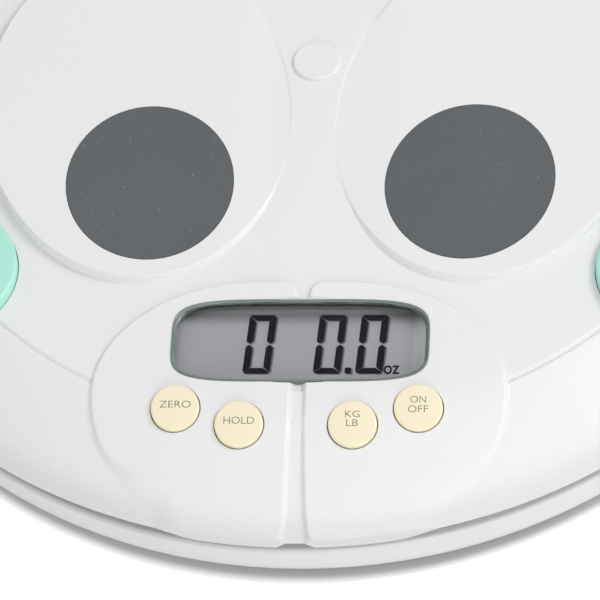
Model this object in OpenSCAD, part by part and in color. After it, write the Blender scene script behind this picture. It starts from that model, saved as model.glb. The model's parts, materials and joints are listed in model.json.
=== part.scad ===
// Round digital baby and toddler weighing scale, tray taken off.
// Origin on the floor under the centre of the scale. +Z up, -Y towards the user and the display.

/* [Cover] */
// Diameter over the cover's lower edge
cover_d = 339; // [336:1:344]
// Height of the cover's centre
top_z = 49.5; // [48.5:0.5:51]
// Width of the sloping skirt around the domed top, seen from above
skirt_w = 32; // [31:0.5:33]
// How far the domed top falls from its centre to the crease
dome_drop = 4.5; // [4:0.25:5]
// Height of the skirt's lower edge
edge_z = 27; // [26.5:0.25:27.5]
// Half of the angle that the skirt's arc turns through
skirt_bulge = 12; // [11:0.5:13]
// Wall thickness of the cover
wall = 2.5; // [2.2:0.1:2.8]

/* [Foot dishes] */
// Centre of the right dish, from the middle
dish_x = 57.2; // [56.5:0.1:58]
// Centre of both dishes, from front to back
dish_y = -18.7; // [-20:0.1:-17]
// Short half axis of a dish
dish_a = 50.4; // [49:0.1:51]
// Long half axis of a dish
dish_b = 68.6; // [66:0.1:70]
// Height of the dishes' flat tops
dish_z = 50; // [49.8:0.1:50.5]
// Angle that each dish leans outwards at its back
dish_lean = 9.5; // [8:0.5:11]
// Centre of the right foot pad, from the middle
pad_x = 50.8; // [50:0.1:52]
// Centre of both foot pads, from front to back
pad_y = -48.6; // [-50:0.1:-46]
// Short half axis of a foot pad
pad_a = 26.6; // [25:0.1:28]
// Long half axis of a foot pad
pad_b = 30.4; // [29:0.1:32]
// Thickness of a foot pad
pad_t = 0.9; // [0.6:0.1:1.2]
// Radius of the round cap at the centre
cap_r = 7.7; // [7:0.1:9]
// How far the centre cap stands above the cover
cap_rise = 1; // [0.6:0.1:1.2]

/* [Control lobes] */
// Length of the lobes, from the cover's front edge to their straight back edge
lobe_l = 83.3; // [82.5:0.1:84]
// Distance of the lobes' widest place from the cover's front edge
lobe_wide_in = 43.5; // [42.5:0.5:44.5]
// Where the corner arc of each lobe is centred, from the middle
lobe_arc_x = 14.3; // [13:0.1:16]
// Half axis of the lobes' corner arcs from side to side
lobe_arc_a = 50.3; // [49:0.1:51]
// Half axis of the lobes' front arcs from front to back
lobe_front_b = 43; // [42:0.5:44]
// How far the lobes stand above the cover
lobe_rise = 1.2; // [1:0.1:1.4]
// How far the lobes' front lip hangs below the cover's edge
lobe_lip = 2.4; // [2:0.1:2.8]
// Width of the groove between the lobes, behind
groove_back_w = 3.4; // [3:0.1:4]
// Width of the groove between the lobes at the cover's edge
groove_front_w = 7; // [6:0.1:8]

/* [Display] */
// Width of the display lens
lens_w = 79.6; // [78:0.2:81]
// Height of the display lens, front to back
lens_h = 29.6; // [29:0.2:30.6]
// Distance of the lens's middle from the cover's front edge
lens_in = 61.1; // [60.6:0.1:61.5]
// Tilt of the display towards the user
display_tilt = 3; // [2:0.5:4]
// Thickness of the lens
lens_t = 2; // [1.6:0.1:2.4]
// Thickness of the dark gasket under the lens
gasket_t = 0.6; // [0.4:0.1:0.8]
// Width of the gasket, all round
gasket_w = 1.2; // [1.1:0.1:1.6]
// Width of the ledge that the gasket sits on: the rest of the gasket is a skirt that lines the opening
ledge_w = 0.7; // [0.6:0.1:0.8]
// How far the gasket's skirt reaches down towards the panel
gasket_skirt = 2; // [1.6:0.1:2.1]
// Width of the liquid crystal panel
lcd_w = 82; // [80:0.5:83]
// Height of the liquid crystal panel, front to back
lcd_h = 30.2; // [29.8:0.2:30.6]
// Thickness of the liquid crystal panel
lcd_t = 2.8; // [2.4:0.1:3]
// Height of a digit
digit_h = 21.2; // [20:0.2:22]
// Width of a digit
digit_w = 8.4; // [7.5:0.1:9]
// Sideways slant of the digits, as a share of their height
digit_slant = 0.07; // [0.05:0.01:0.12]
// Width of one segment of a digit
segment_w = 2.1; // [1.8:0.1:2.4]

/* [Buttons] */
// Radius of the four control buttons
key_r = 7.5; // [7:0.1:8]
// Distance of the two inner buttons from the middle
key_in_x = 17.4; // [17:0.1:18.5]
// Distance of the two inner buttons from the cover's front edge
key_in_in = 31.4; // [30.6:0.1:32]
// Distance of the two outer buttons from the middle
key_out_x = 37.3; // [37:0.1:38]
// Distance of the two outer buttons from the cover's front edge
key_out_in = 37.1; // [36.4:0.1:37.6]
// How far a button stands above the lobe
key_rise = 1.3; // [1:0.1:1.6]
// How far a button travels when it is pressed
key_travel = 1; // [0.8:0.1:1.2]
// Tilt of the buttons towards the user
key_tilt = 15; // [13:1:17]

/* [Tray release buttons] */
// Angle from the middle plane's cross direction to each tray release button, towards the front
tray_angle = 35.4; // [34:0.2:37]
// Distance between a tray release button's rim and the cover's edge
tray_in = 6; // [5.6:0.1:6.6]
// Radius of a tray release button
tray_r = 24; // [23.4:0.1:24.2]
// Height of a tray release button's rim
tray_top_z = 49; // [48.6:0.1:49.6]
// How far a tray release button's top is crowned
tray_crown = 0.8; // [0.5:0.1:1.2]
// How far a tray release button travels
tray_travel = 3; // [2.5:0.5:3]
// Wire diameter of the tray release springs
spring_wire = 1.2; // [1:0.1:1.4]
// Number of turns in a tray release spring
spring_turns = 6; // [5:1:7]

/* [Base] */
// How far the cover's edge overhangs the base's side wall
overhang = 1.5; // [1.2:0.1:2]
// Height of the base's flat underside
base_z = 4; // [3.6:0.1:4.2]
// Height of the base's side wall
base_top_z = 20.5; // [19.5:0.25:22]
// Radius of the rounding under the base's side wall
base_round = 9; // [8:0.5:10]
// Thickness of the base's floor and side wall
base_t = 2.5; // [2.2:0.1:2.8]
// How far inside the side wall the inner ring stands that closes the gap under the cover
ring_in = 7; // [6.6:0.1:7.6]
// Height of that inner ring
ring_top_z = 29; // [28.5:0.25:29.25]

/* [Feet] */
// Distance of a foot's axis from the base's side wall, in both directions
foot_in = 84.6; // [83:0.2:86]
// Radius of a foot's rubber sole
sole_r = 12.6; // [12:0.1:13.4]
// Thickness of a foot's rubber sole
sole_t = 2; // [1.6:0.1:2.4]
// Radius of the foot's shaft through the base
foot_r = 11.4; // [11:0.1:11.6]
// Length of the side of a load cell plate
cell_w = 34; // [33:0.5:35]
// Thickness of a load cell plate
cell_t = 2; // [1.6:0.1:2.4]
// Height of the load cell's lower face
cell_z = 9; // [8.6:0.1:9.4]

/* [Batteries] */
// Diameter of a battery cell
aa_d = 14.5; // [14.3:0.1:14.5]
// Length of a battery cell
aa_l = 50.5; // [49.5:0.1:50.5]
// Distance of the battery door's outer end from the base's side wall
door_in = 8.6; // [8:0.2:9.4]
// Thickness of the battery door
door_t = 2.1; // [1.9:0.1:2.2]
// How far the battery door slides out
door_travel = 60; // [50:1:60]

/* [Boards] */
// How far the main circuit board reaches past each side of the panel
board_side = 9; // [8.5:0.5:10]
// Depth of the main circuit board, front to back
board_h = 37; // [36:0.5:38]
// Thickness of the circuit boards
board_t = 1.6; // [1.4:0.1:1.8]
// Width of the key board
key_board_w = 102; // [101:0.5:102]
// Depth of the key board
key_board_h = 20; // [19:0.5:21]

/* [Screws and contacts] */
// Head radius of the housing screws
screw_head_r = 3; // [2.6:0.1:3.1]
// Head height of the housing screws
screw_head_h = 2.4; // [2:0.1:2.8]
// Shank radius of the housing screws
screw_r = 1.4; // [1.2:0.05:1.4]
// Shank length of the housing screws
screw_l = 12; // [10:0.5:12.5]
// Head radius of the small screws inside
pin_head_r = 2.2; // [1.8:0.1:2.3]
// Head height of the small screws inside
pin_head_h = 1.2; // [1:0.1:1.4]
// Shank radius of the small screws inside
pin_r = 0.9; // [0.8:0.05:1]
// How deep the small screws reach into their bosses
pin_depth = 4; // [3:0.5:4.5]
// Side of the square battery contacts
contact_w = 10; // [9:0.5:10.5]
// Thickness of the battery contacts
contact_t = 0.5; // [0.3:0.1:0.6]

/* [Fits] */
// Gap around a screw's shank in its boss
screw_gap = 0.1; // [0.05:0.05:0.15]
// Gap around each moving button
button_gap = 0.3; // [0.25:0.05:0.4]
// Gap around the parts that are pushed into a pocket
pocket_gap = 0.15; // [0.1:0.05:0.2]
// Gap around the tray release buttons
tray_gap = 0.4; // [0.35:0.05:0.5]
// Gap around the feet and around the battery door
loose_gap = 0.4; // [0.3:0.05:0.5]

/* [Hidden] */
$fn = 96;

white = [0.93, 0.94, 0.94];
shade_white = [0.87, 0.88, 0.87];
mint = [0.66, 0.9, 0.82];
cream = [0.95, 0.93, 0.82];
pad_grey = [0.4, 0.42, 0.43];
lcd_grey = [0.6, 0.61, 0.63];
black = [0.08, 0.08, 0.09];
board_green = [0.1, 0.35, 0.2];
steel = [0.72, 0.73, 0.75];
wire_red = [0.7, 0.1, 0.1];

eps = 0.01;
far = 400;

// ---- Cover lines: [radius, height] points of the cover's outer surface, moved out by off ----
edge_r = cover_d / 2;
crease_r = edge_r - skirt_w;
crease_z = top_z - dome_drop;
lobe_back = edge_r - lobe_l;
lobe_wide_y = edge_r - lobe_wide_in;
lens_y = edge_r - lens_in;
key_in_y = edge_r - key_in_in;
key_out_y = edge_r - key_out_in;
tray_x = (edge_r - tray_in - tray_r) * cos(tray_angle);
tray_y = (edge_r - tray_in - tray_r) * sin(tray_angle);
base_r = edge_r - overhang;
ring_r = base_r - ring_in;
foot_xy = base_r - foot_in;
door_back = base_r - door_in;
dome_r = (crease_r ^ 2 + dome_drop ^ 2) / (2 * dome_drop);
dome_c = top_z - dome_r;
chord = [edge_r - crease_r, edge_z - crease_z];
skirt_r = norm(chord) / 2 / sin(skirt_bulge);
skirt_c = [edge_r + crease_r, edge_z + crease_z] / 2
    - [-chord.y, chord.x] / norm(chord) * skirt_r * cos(skirt_bulge);
skirt_a = atan2(crease_z - skirt_c.y, crease_r - skirt_c.x);
dome_a = acos(crease_r / dome_r);
dome_steps = 14;
skirt_steps = 12;
blend = 8;

function dome_height(off, r) = dome_c + sqrt((dome_r + off) ^ 2 - r ^ 2);
function skirt_point(off, a) = skirt_c + (skirt_r + off) * [cos(a), sin(a)];
function skirt_height(off, r) = skirt_c.y + sqrt((skirt_r + off) ^ 2 - (r - skirt_c.x) ^ 2);
// Height of the cover's surface, moved out by off, at radius r
function cover_height(off, r) = r < crease_r ? dome_height(off, r) : skirt_height(off, r);
function crease_point(off) = [crease_r, crease_z]
    + off / cos((dome_a - skirt_a) / 2) * [cos((dome_a + skirt_a) / 2), sin((dome_a + skirt_a) / 2)];
// Angle on the skirt's arc at which the line moved out by off is at height z
function skirt_angle(off, z) = asin((z - skirt_c.y) / (skirt_r + off));
function angle_at_radius(off, r) = acos((r - skirt_c.x) / (skirt_r + off));

// The dome, the crease and the skirt, down to height z
function cover_line(off, z) = let (corner = crease_point(off), last = skirt_angle(off, z)) concat(
    [for (i = [0:dome_steps - 1]) let (r = corner.x * i / dome_steps) [r, dome_height(off, r)]],
    [corner],
    [for (i = [1:skirt_steps]) skirt_point(off, skirt_a + (last - skirt_a) * i / skirt_steps)]
);

// The same line with its crease rounded away, out to the cover's edge
function blended_line(off) = let (
    p0 = [crease_r - blend, dome_height(off, crease_r - blend)],
    p1 = crease_point(off),
    first = angle_at_radius(off, crease_r + blend),
    last = angle_at_radius(off, edge_r),
    p2 = skirt_point(off, first)
) concat(
    [for (i = [0:dome_steps - 1]) let (r = p0.x * i / dome_steps) [r, dome_height(off, r)]],
    [for (t = [0:0.25:0.9]) p0 * (1 - t) ^ 2 + p1 * 2 * t * (1 - t) + p2 * t ^ 2],
    [for (i = [0:skirt_steps]) skirt_point(off, first + (last - first) * i / skirt_steps)]
);

function backwards(list) = [for (i = [len(list) - 1:-1:0]) list[i]];
function ellipse(c, a, b, lean, n = 96) =
    [for (i = [0:n - 1]) let (t = 360 * i / n, x = a * cos(t), y = b * sin(t))
        c + [x * cos(lean) - y * sin(lean), x * sin(lean) + y * cos(lean)]];
function mirrored(points) = [for (p = points) [-p.x, p.y]];
// Rounded rectangle whose sides bulge a little, as on the display lens
function bulged(w, h, n = 96, power = 4.6) =
    [for (i = [0:n - 1]) let (c = cos(360 * i / n), s = sin(360 * i / n))
        [w / 2 * sign(c) * abs(c) ^ (2 / power), h / 2 * sign(s) * abs(s) ^ (2 / power)]];

module both() {
    children();
    mirror([1, 0, 0]) children();
}

// Everything under the cover's surface moved out by off
module under_cover(off) {
    line = cover_line(off, edge_z);
    rotate_extrude($fn = 180)
        polygon(concat([[0, 0]], line, [[line[len(line) - 1].x, 0]]));
}

// ---- Foot dishes ----
function dish_points() = ellipse([dish_x, dish_y], dish_a, dish_b, -dish_lean);
function pad_points(gap) = ellipse([pad_x, pad_y], pad_a + gap, pad_b + gap, -dish_lean);

module dish() {
    translate([0, 0, crease_z - wall]) linear_extrude(dish_z - crease_z + wall) polygon(dish_points());
}

module foot_pad_solid(gap) {
    translate([0, 0, dish_z - pad_t]) linear_extrude(pad_t + (gap > 0 ? 1 : 0)) polygon(pad_points(gap));
}

// ---- Control lobes ----
lobe_corner = 5;
// Outline of the right lobe, seen from above, open past the cover's edge
function lobe_points() = let (
    back_b = lobe_wide_y - lobe_back,
    inner = groove_back_w / 2,
    last = -acos(0.6)
) concat(
    [for (a = [180:-15:105])
        [inner + lobe_corner + lobe_corner * cos(a), -lobe_back - lobe_corner + lobe_corner * sin(a)]],
    [for (i = [0:18]) let (a = 90 - 5 * i)
        [lobe_arc_x + lobe_arc_a * cos(a), -lobe_wide_y + back_b * sin(a)]],
    [for (i = [1:12]) let (a = last * i / 12)
        [lobe_arc_x + lobe_arc_a * cos(a), -lobe_wide_y + lobe_front_b * sin(a)]],
    [[lobe_arc_x + lobe_arc_a * 0.6, -edge_r - 5],
     [groove_front_w / 2 + 1, -edge_r - 5],
     [groove_front_w / 2, -edge_r + 1],
     [groove_front_w / 2 - 0.8, -edge_r + 6],
     [groove_front_w / 2 - 1.2, -edge_r + 14],
     [inner + 0.1, -lobe_wide_y - 12]]
);

module lobes() {
    top = blended_line(lobe_rise);
    under = cover_line(-wall / 2, edge_z + 1);
    lip = [[edge_r, edge_z - lobe_lip], [edge_r - wall, edge_z - lobe_lip]];
    intersection() {
        rotate_extrude($fn = 180) polygon(concat(top, lip, backwards(under)));
        both() linear_extrude(far) polygon(lobe_points());
    }
}

// ---- Display frame: origin in the middle of the lens's top, tilted towards the user ----
lens_z = cover_height(lobe_rise, lens_y);
board_w = lcd_w + 2 * board_side;
holder_top = -4.9;
lcd_top = -5.2;
board_top = -11;
// The panel, its holder and the board lie a little behind the middle of the lens
lcd_mid = 1.5;
holder_wall = 1;
holder_front = lcd_mid - lcd_h / 2 - pocket_gap - holder_wall;
holder_back = lcd_mid + lcd_h / 2 + pocket_gap + holder_wall;
board_post_x = board_w / 2 - 4;

module at_display() {
    translate([0, -lens_y, lens_z]) rotate([display_tilt, 0, 0]) children();
}

module at_board_posts() {
    for (x = [-1, 1], y = [holder_front + 4, holder_front + board_h - 4]) translate([x * board_post_x, y, 0])
        children();
}

// ---- Key frame: every button has its own seat on the lobe, and all share one tilt ----
key_sites = [
    [-key_out_x, -key_out_y], [-key_in_x, -key_in_y], [key_in_x, -key_in_y], [key_out_x, -key_out_y]
];
key_wing_r = key_r + 1.3;
key_wing_w = 8;
key_wing_t = 0.9;
key_wing_top = -lobe_rise - wall - 1;
key_stem_z = -11.4;
key_mat_top = key_stem_z - key_travel - button_gap;
key_board_top = -15;
key_y = (key_in_y + key_out_y) / 2;

// Height of the lobe's surface at a button, with the crease rounded as the lobes round it
function lobe_height(p) = let (r = norm(p), t = (r - crease_r + blend) / (2 * blend)) r > crease_r + blend
    ? skirt_height(lobe_rise, r)
    : dome_height(lobe_rise, crease_r - blend) * (1 - t) ^ 2 + crease_point(lobe_rise).y * 2 * t * (1 - t)
        + skirt_height(lobe_rise, crease_r + blend) * t ^ 2;
key_z = lobe_height([0, key_y]);

module at_key(i) {
    p = key_sites[i];
    translate([p.x, p.y, lobe_height(p)]) rotate([key_tilt, 0, 0]) children();
}

module at_key_board() {
    translate([0, -key_y, key_z]) rotate([key_tilt, 0, 0]) children();
}

module at_key_posts() {
    for (x = [-1, 0, 1]) translate([x * (key_board_w / 2 - 2.4), 0, 0]) children();
}

// ---- Tray release buttons ----
tray_skirt_z = 30;
tray_ceiling_z = tray_top_z - 2.4;
tray_stem_r = 4;
tray_post_top = 24;
tray_shoulder_z = 14;
tray_washer_top = tray_shoulder_z - button_gap;
tray_post_r = 8;
tray_chamber_r = 6.8;

module at_tray() {
    translate([tray_x, -tray_y, 0]) children();
}

// ---- Housing bosses ----
boss_ring_r = base_r - 21;
boss_angles = [-60, -10, 30, 70];
boss_meet_z = 16;
screw_seat = 13.5;
boss_r = 4.2;
module at_bosses() {
    both() for (a = boss_angles) rotate([0, 0, a]) translate([boss_ring_r, 0, 0]) children();
}

// ---- Top cover ----
module top_cover() {
    color(white) difference() {
        union() {
            difference() {
                union() {
                    under_cover(0);
                    both() dish();
                }
                under_cover(-wall);
                translate([0, 0, -eps]) cylinder(r = far, h = edge_z, $fn = 48);
            }
            lobes();
            intersection() {
                under_cover(-wall / 2);
                union() {
                    at_bosses() translate([0, 0, boss_meet_z]) cylinder(r = boss_r, h = far, $fn = 32);
                    both() at_tray() difference() {
                        translate([0, 0, tray_skirt_z - 1]) cylinder(r = tray_r + tray_gap + 2, h = far);
                        translate([0, 0, -eps]) cylinder(r = tray_r + tray_gap, h = 2 * far);
                    }
                }
            }
            at_display() at_board_posts() translate([0, 0, board_top])
                cylinder(r = 3, h = -board_top - 3, $fn = 32);
            at_key_board() at_key_posts() translate([0, 0, key_board_top])
                cylinder(r = 2, h = -key_board_top - 3, $fn = 32);
        }
        both() foot_pad_solid(pocket_gap);
        cylinder(r = 4 + pocket_gap, h = far, $fn = 48);
        at_display() {
            translate([0, 0, -lens_t - gasket_t]) linear_extrude(20)
                polygon(bulged(lens_w + 2 * pocket_gap, lens_h + 2 * pocket_gap));
            translate([0, 0, -20]) linear_extrude(40)
                polygon(bulged(lens_w - 2 * ledge_w, lens_h - 2 * ledge_w));
            at_board_posts() translate([0, 0, board_top - eps])
                cylinder(r = pin_r + screw_gap, h = pin_depth + 1, $fn = 24);
        }
        for (i = [0:3]) at_key(i) translate([0, 0, -20]) cylinder(r = key_r + button_gap, h = 40);
        at_key_board() at_key_posts() translate([0, 0, key_board_top - eps])
            cylinder(r = pin_r + screw_gap, h = pin_depth + 1, $fn = 24);
        both() at_tray() cylinder(r = tray_r + tray_gap, h = far);
        at_bosses() translate([0, 0, boss_meet_z - eps])
            cylinder(r = screw_r + screw_gap, h = screw_seat + screw_l + 0.5 - boss_meet_z, $fn = 24);
    }
}

module foot_pad_left() {
    color(pad_grey) mirror([1, 0, 0]) foot_pad_solid(0);
}

module foot_pad_right() {
    color(pad_grey) foot_pad_solid(0);
}

module centre_cap() {
    color(white) {
        translate([0, 0, top_z]) rotate_extrude()
            polygon([
                [0, 0], [cap_r, 0], [cap_r, cap_rise - 0.5], [cap_r - 0.5, cap_rise - 0.15], [4, cap_rise],
                [0, cap_rise]
            ]);
        translate([0, 0, top_z - wall - 1.5]) cylinder(r = 4, h = wall + 1.5 + eps, $fn = 48);
    }
}

// ---- Display ----
module display_lens() {
    color([0.75, 0.8, 0.8, 0.35]) at_display() translate([0, 0, -lens_t]) linear_extrude(lens_t)
        polygon(bulged(lens_w, lens_h));
}

module display_gasket() {
    skirt_in = ledge_w + pocket_gap;
    color([0.1, 0.22, 0.18]) at_display() difference() {
        union() {
            translate([0, 0, -lens_t - gasket_t]) linear_extrude(gasket_t) polygon(bulged(lens_w, lens_h));
            translate([0, 0, -lens_t - gasket_t - gasket_skirt]) linear_extrude(gasket_skirt + eps)
                polygon(bulged(lens_w - 2 * skirt_in, lens_h - 2 * skirt_in));
        }
        translate([0, 0, -lens_t - far / 2]) linear_extrude(far)
            polygon(bulged(lens_w - 2 * gasket_w, lens_h - 2 * gasket_w));
    }
}

module lcd_panel() {
    color(lcd_grey) at_display() translate([-lcd_w / 2, lcd_mid - lcd_h / 2, lcd_top - lcd_t])
        cube([lcd_w, lcd_h, lcd_t]);
}

digit_y = 1.4;
digit_x = [-13, 8.8, 21.9];
// One segment between two points, with pointed ends, sheared by the slant
function segment(p, q) = let (
    s = segment_w / 2,
    d = (q - p) / norm(q - p) * s,
    n = [-d.y, d.x]
) [for (v = [p, p + d + n, q - d + n, q, q - d - n, p + d - n]) [v.x + digit_slant * v.y, v.y]];

module zero_digit() {
    gap = 0.25;
    w = digit_w - segment_w;
    h = digit_h - segment_w;
    corners = [for (y = [0, h / 2, h]) [for (x = [0, w]) [x - w / 2, y - h / 2]]];
    for (x = [0, 1], y = [0, 1]) {
        low = corners[y][x];
        high = corners[y + 1][x];
        polygon(segment(low + [0, gap], high - [0, gap]));
    }
    for (y = [0, 2]) polygon(segment(corners[y][0] + [gap, 0], corners[y][1] - [gap, 0]));
}

module lcd_digits() {
    color(black) at_display() translate([0, 0, lcd_top]) linear_extrude(0.12) {
        for (x = digit_x) translate([x, digit_y]) zero_digit();
        translate([(digit_x[1] + digit_x[2]) / 2 - 1, digit_y - digit_h / 2]) square(segment_w);
    }
}

module lcd_holder() {
    h = holder_top - board_top;
    color(shade_white) at_display() translate([0, 0, board_top]) difference() {
        translate([-lcd_w / 2 - 3, holder_front, 0]) cube([lcd_w + 6, holder_back - holder_front, h]);
        translate([-lcd_w / 2 - pocket_gap, lcd_mid - lcd_h / 2 - pocket_gap, lcd_top - lcd_t - board_top])
            cube([lcd_w + 2 * pocket_gap, lcd_h + 2 * pocket_gap, h]);
        for (y = strip_y) translate([-lcd_w / 2 + 2, y - 1, -eps]) cube([lcd_w - 4, 4, h]);
        at_board_posts() translate([0, 0, -eps]) cylinder(r = 3.3, h = 2 * h, $fn = 32);
    }
}

// Rubber strips that carry the contacts from the board up to the panel
strip_y = [lcd_mid - lcd_h / 2 + 2, lcd_mid + lcd_h / 2 - 4];
module contact_strips() {
    h = lcd_top - lcd_t - board_top;
    color([0.55, 0.3, 0.45]) at_display() for (y = strip_y)
        translate([-lcd_w / 2 + 4, y, board_top]) cube([lcd_w - 8, 2, h]);
}

module main_board() {
    color(board_green) at_display() translate([0, 0, board_top - board_t]) difference() {
        translate([-board_w / 2, holder_front, 0]) cube([board_w, board_h, board_t]);
        at_board_posts() translate([0, 0, -eps])
            cylinder(r = pin_r + 2 * screw_gap, h = board_t + 1, $fn = 24);
    }
}

chip_t = 1.4;
plug_w = 24;
module board_chips() {
    color(black) at_display() translate([0, 0, board_top - board_t - chip_t]) {
        translate([-18, -6, 0]) cylinder(r = 6.5, h = chip_t, $fn = 48);
        translate([2, -10, 0]) cube([9, 7, chip_t]);
        translate([16, -8, -1.6]) cube([5, 4, chip_t + 1.6]);
        translate([-plug_w / 2, 8, -3]) cube([plug_w, 5, chip_t + 3]);
    }
}

module screw(head_r, head_h, shank_r, shank_l) {
    cylinder(r = head_r, h = head_h, $fn = 24);
    translate([0, 0, head_h - eps]) cylinder(r = shank_r, h = shank_l + eps, $fn = 24);
}

module board_screws() {
    color(steel) at_display() at_board_posts() translate([0, 0, board_top - board_t - pin_head_h])
        screw(pin_head_r, pin_head_h, pin_r, board_t + pin_depth);
}

// ---- Control buttons ----
module key_button(i) {
    bottom = key_wing_top - key_wing_t;
    color(cream) at_key(i) {
        rotate_extrude() polygon([
            [0, bottom], [key_r, bottom], [key_r, key_rise - 1], [key_r - 0.3, key_rise - 0.6],
            [key_r - 0.9, key_rise - 0.35], [4, key_rise - 0.1], [0, key_rise]
        ]);
        intersection() {
            translate([0, 0, bottom]) cylinder(r = key_wing_r, h = key_wing_t, $fn = 48);
            translate([-far / 2, -key_wing_w / 2, bottom - 1]) cube([far, key_wing_w, 4]);
        }
        translate([0, 0, key_stem_z]) cylinder(r = 3, h = bottom - key_stem_z + eps, $fn = 32);
    }
}

module zero_button() { key_button(0); }
module hold_button() { key_button(1); }
module unit_button() { key_button(2); }
module power_button() { key_button(3); }

// Rubber mat with a raised dome under each button's stem
module key_mat() {
    color([0.75, 0.76, 0.78]) union() {
        at_key_board() translate([0, 0, key_board_top]) difference() {
            translate([-key_board_w / 2 + 6, -key_board_h / 2 + 1, 0])
                cube([key_board_w - 12, key_board_h - 2, 1]);
            at_key_posts() translate([0, 0, -eps]) cylinder(r = 2.6, h = 5, $fn = 32);
        }
        for (i = [0:3]) intersection() {
            at_key(i) translate([0, 0, key_mat_top - 8]) cylinder(r = 4, h = 8, $fn = 32);
            at_key_board() translate([-far / 2, -far / 2, key_board_top]) cube([far, far, 8]);
        }
    }
}

module key_board() {
    color(board_green) at_key_board() translate([0, 0, key_board_top - board_t]) difference() {
        translate([-key_board_w / 2, -key_board_h / 2, 0]) cube([key_board_w, key_board_h, board_t]);
        at_key_posts() translate([0, 0, -eps]) cylinder(r = pin_r + 2 * screw_gap, h = board_t + 1, $fn = 24);
    }
}

module key_board_screws() {
    color(steel) at_key_board() at_key_posts() translate([0, 0, key_board_top - board_t - pin_head_h])
        screw(pin_head_r, pin_head_h, pin_r, board_t + pin_depth);
}

// ---- Tray release buttons ----
module tray_button() {
    crown_r = (tray_r ^ 2 + tray_crown ^ 2) / (2 * tray_crown);
    edge = 1.2;
    color(mint) {
        rotate_extrude() polygon(concat(
            [for (i = [0:6]) let (x = (tray_r - edge) * i / 6)
                [x, tray_top_z + tray_crown - crown_r + sqrt(crown_r ^ 2 - x ^ 2)]],
            [for (a = [70:-35:0]) [tray_r - edge + edge * cos(a), tray_top_z - edge + edge * sin(a)]],
            [[tray_r, tray_skirt_z], [tray_r - 2.2, tray_skirt_z]],
            [[tray_r - 2.2, tray_ceiling_z], [0, tray_ceiling_z]]
        ));
        translate([0, 0, tray_washer_top])
            cylinder(r = tray_stem_r, h = tray_top_z - tray_washer_top, $fn = 48);
    }
}

module tray_button_left() { mirror([1, 0, 0]) at_tray() tray_button(); }
module tray_button_right() { at_tray() tray_button(); }

// Screw and washer that keep the button's stem from rising out of its post
module tray_washer() {
    color(steel) translate([0, 0, tray_washer_top - 1.2]) {
        cylinder(r = 6.2, h = 1.2, $fn = 48);
        translate([0, 0, -1.6]) cylinder(r = 3.4, h = 1.6 + eps, $fn = 32);
    }
}

module tray_washer_left() { mirror([1, 0, 0]) at_tray() tray_washer(); }
module tray_washer_right() { at_tray() tray_washer(); }

// Coil spring: rings of points along a helix, joined into one closed tube
spring_r = 6.4;
spring_rings = 16;
spring_sides = 6;
function coil_ring(t, z0, z1, r, wire) = let (a = 360 * t, c = [r * cos(a), r * sin(a), z0 + (z1 - z0) * t])
    [for (k = [0:spring_sides - 1]) let (b = 360 * k / spring_sides, q = r + wire / 2 * cos(b))
        [q * cos(a), q * sin(a), c.z + wire / 2 * sin(b)]];

module coil(z0, z1, r, wire, turns) {
    n = turns * spring_rings;
    pitch = (z1 - z0) / turns;
    points = [for (i = [0:n]) each coil_ring(i / spring_rings, z0, z0 + pitch, r, wire)];
    sides = [for (i = [0:n - 1], k = [0:spring_sides - 1]) let (
        a = i * spring_sides + k, b = i * spring_sides + (k + 1) % spring_sides
    ) each [[a, b, b + spring_sides], [a, b + spring_sides, a + spring_sides]]];
    start = [for (k = [spring_sides - 1:-1:0]) k];
    end = [for (k = [0:spring_sides - 1]) n * spring_sides + k];
    polyhedron(points, concat(sides, [start, end]));
}

module tray_spring() {
    lift = spring_wire / 2 + button_gap;
    color(steel) coil(tray_post_top + lift, tray_ceiling_z - lift, spring_r, spring_wire, spring_turns);
}

module tray_spring_left() { mirror([1, 0, 0]) at_tray() tray_spring(); }
module tray_spring_right() { at_tray() tray_spring(); }

// ---- Base housing ----
floor_z = base_z + base_t;
cell_gap = 0.4;
bay_w = 4 * aa_d + 3 * cell_gap + 2 * button_gap;
bay_l = aa_l + 6.5;
door_w = bay_w + 5;
door_y0 = door_back - bay_l - 8;
bay_y0 = door_y0 + 3;
door_lip = 0.9;
rail_w = 1.6;
channel_t = door_t + loose_gap;
bay_top = base_z + channel_t + aa_d + 3;

module base_profile() {
    r = base_r - base_round;
    inner_round = base_round - base_t;
    arc = [for (a = [-90:15:0]) [r, base_z + base_round] + base_round * [cos(a), sin(a)]];
    inner = [for (a = [0:-15:-90]) [r, base_z + base_round] + inner_round * [cos(a), sin(a)]];
    edge = base_t / 2;
    rim = [for (a = [0:22.5:90]) [base_r - edge, base_top_z - edge] + edge * [cos(a), sin(a)]];
    polygon(concat([[0, base_z]], arc, rim, [[base_r - base_t, base_top_z]], inner, [[0, floor_z]]));
}

// Everything inside the base's outer surface, up to height z
module inside_base(z) {
    r = base_r - base_round;
    arc = [for (a = [-90:15:0]) [r, base_z + base_round] + base_round * [cos(a), sin(a)]];
    intersection() {
        rotate_extrude($fn = 180) polygon(concat([[0, base_z]], arc, [[base_r, z], [0, z]]));
        children();
    }
}

cell_pin = cell_w / 2 - 3;
module at_feet() {
    for (x = [-1, 1], y = [-1, 1]) translate([x * foot_xy, y * foot_xy, 0]) children();
}

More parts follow.
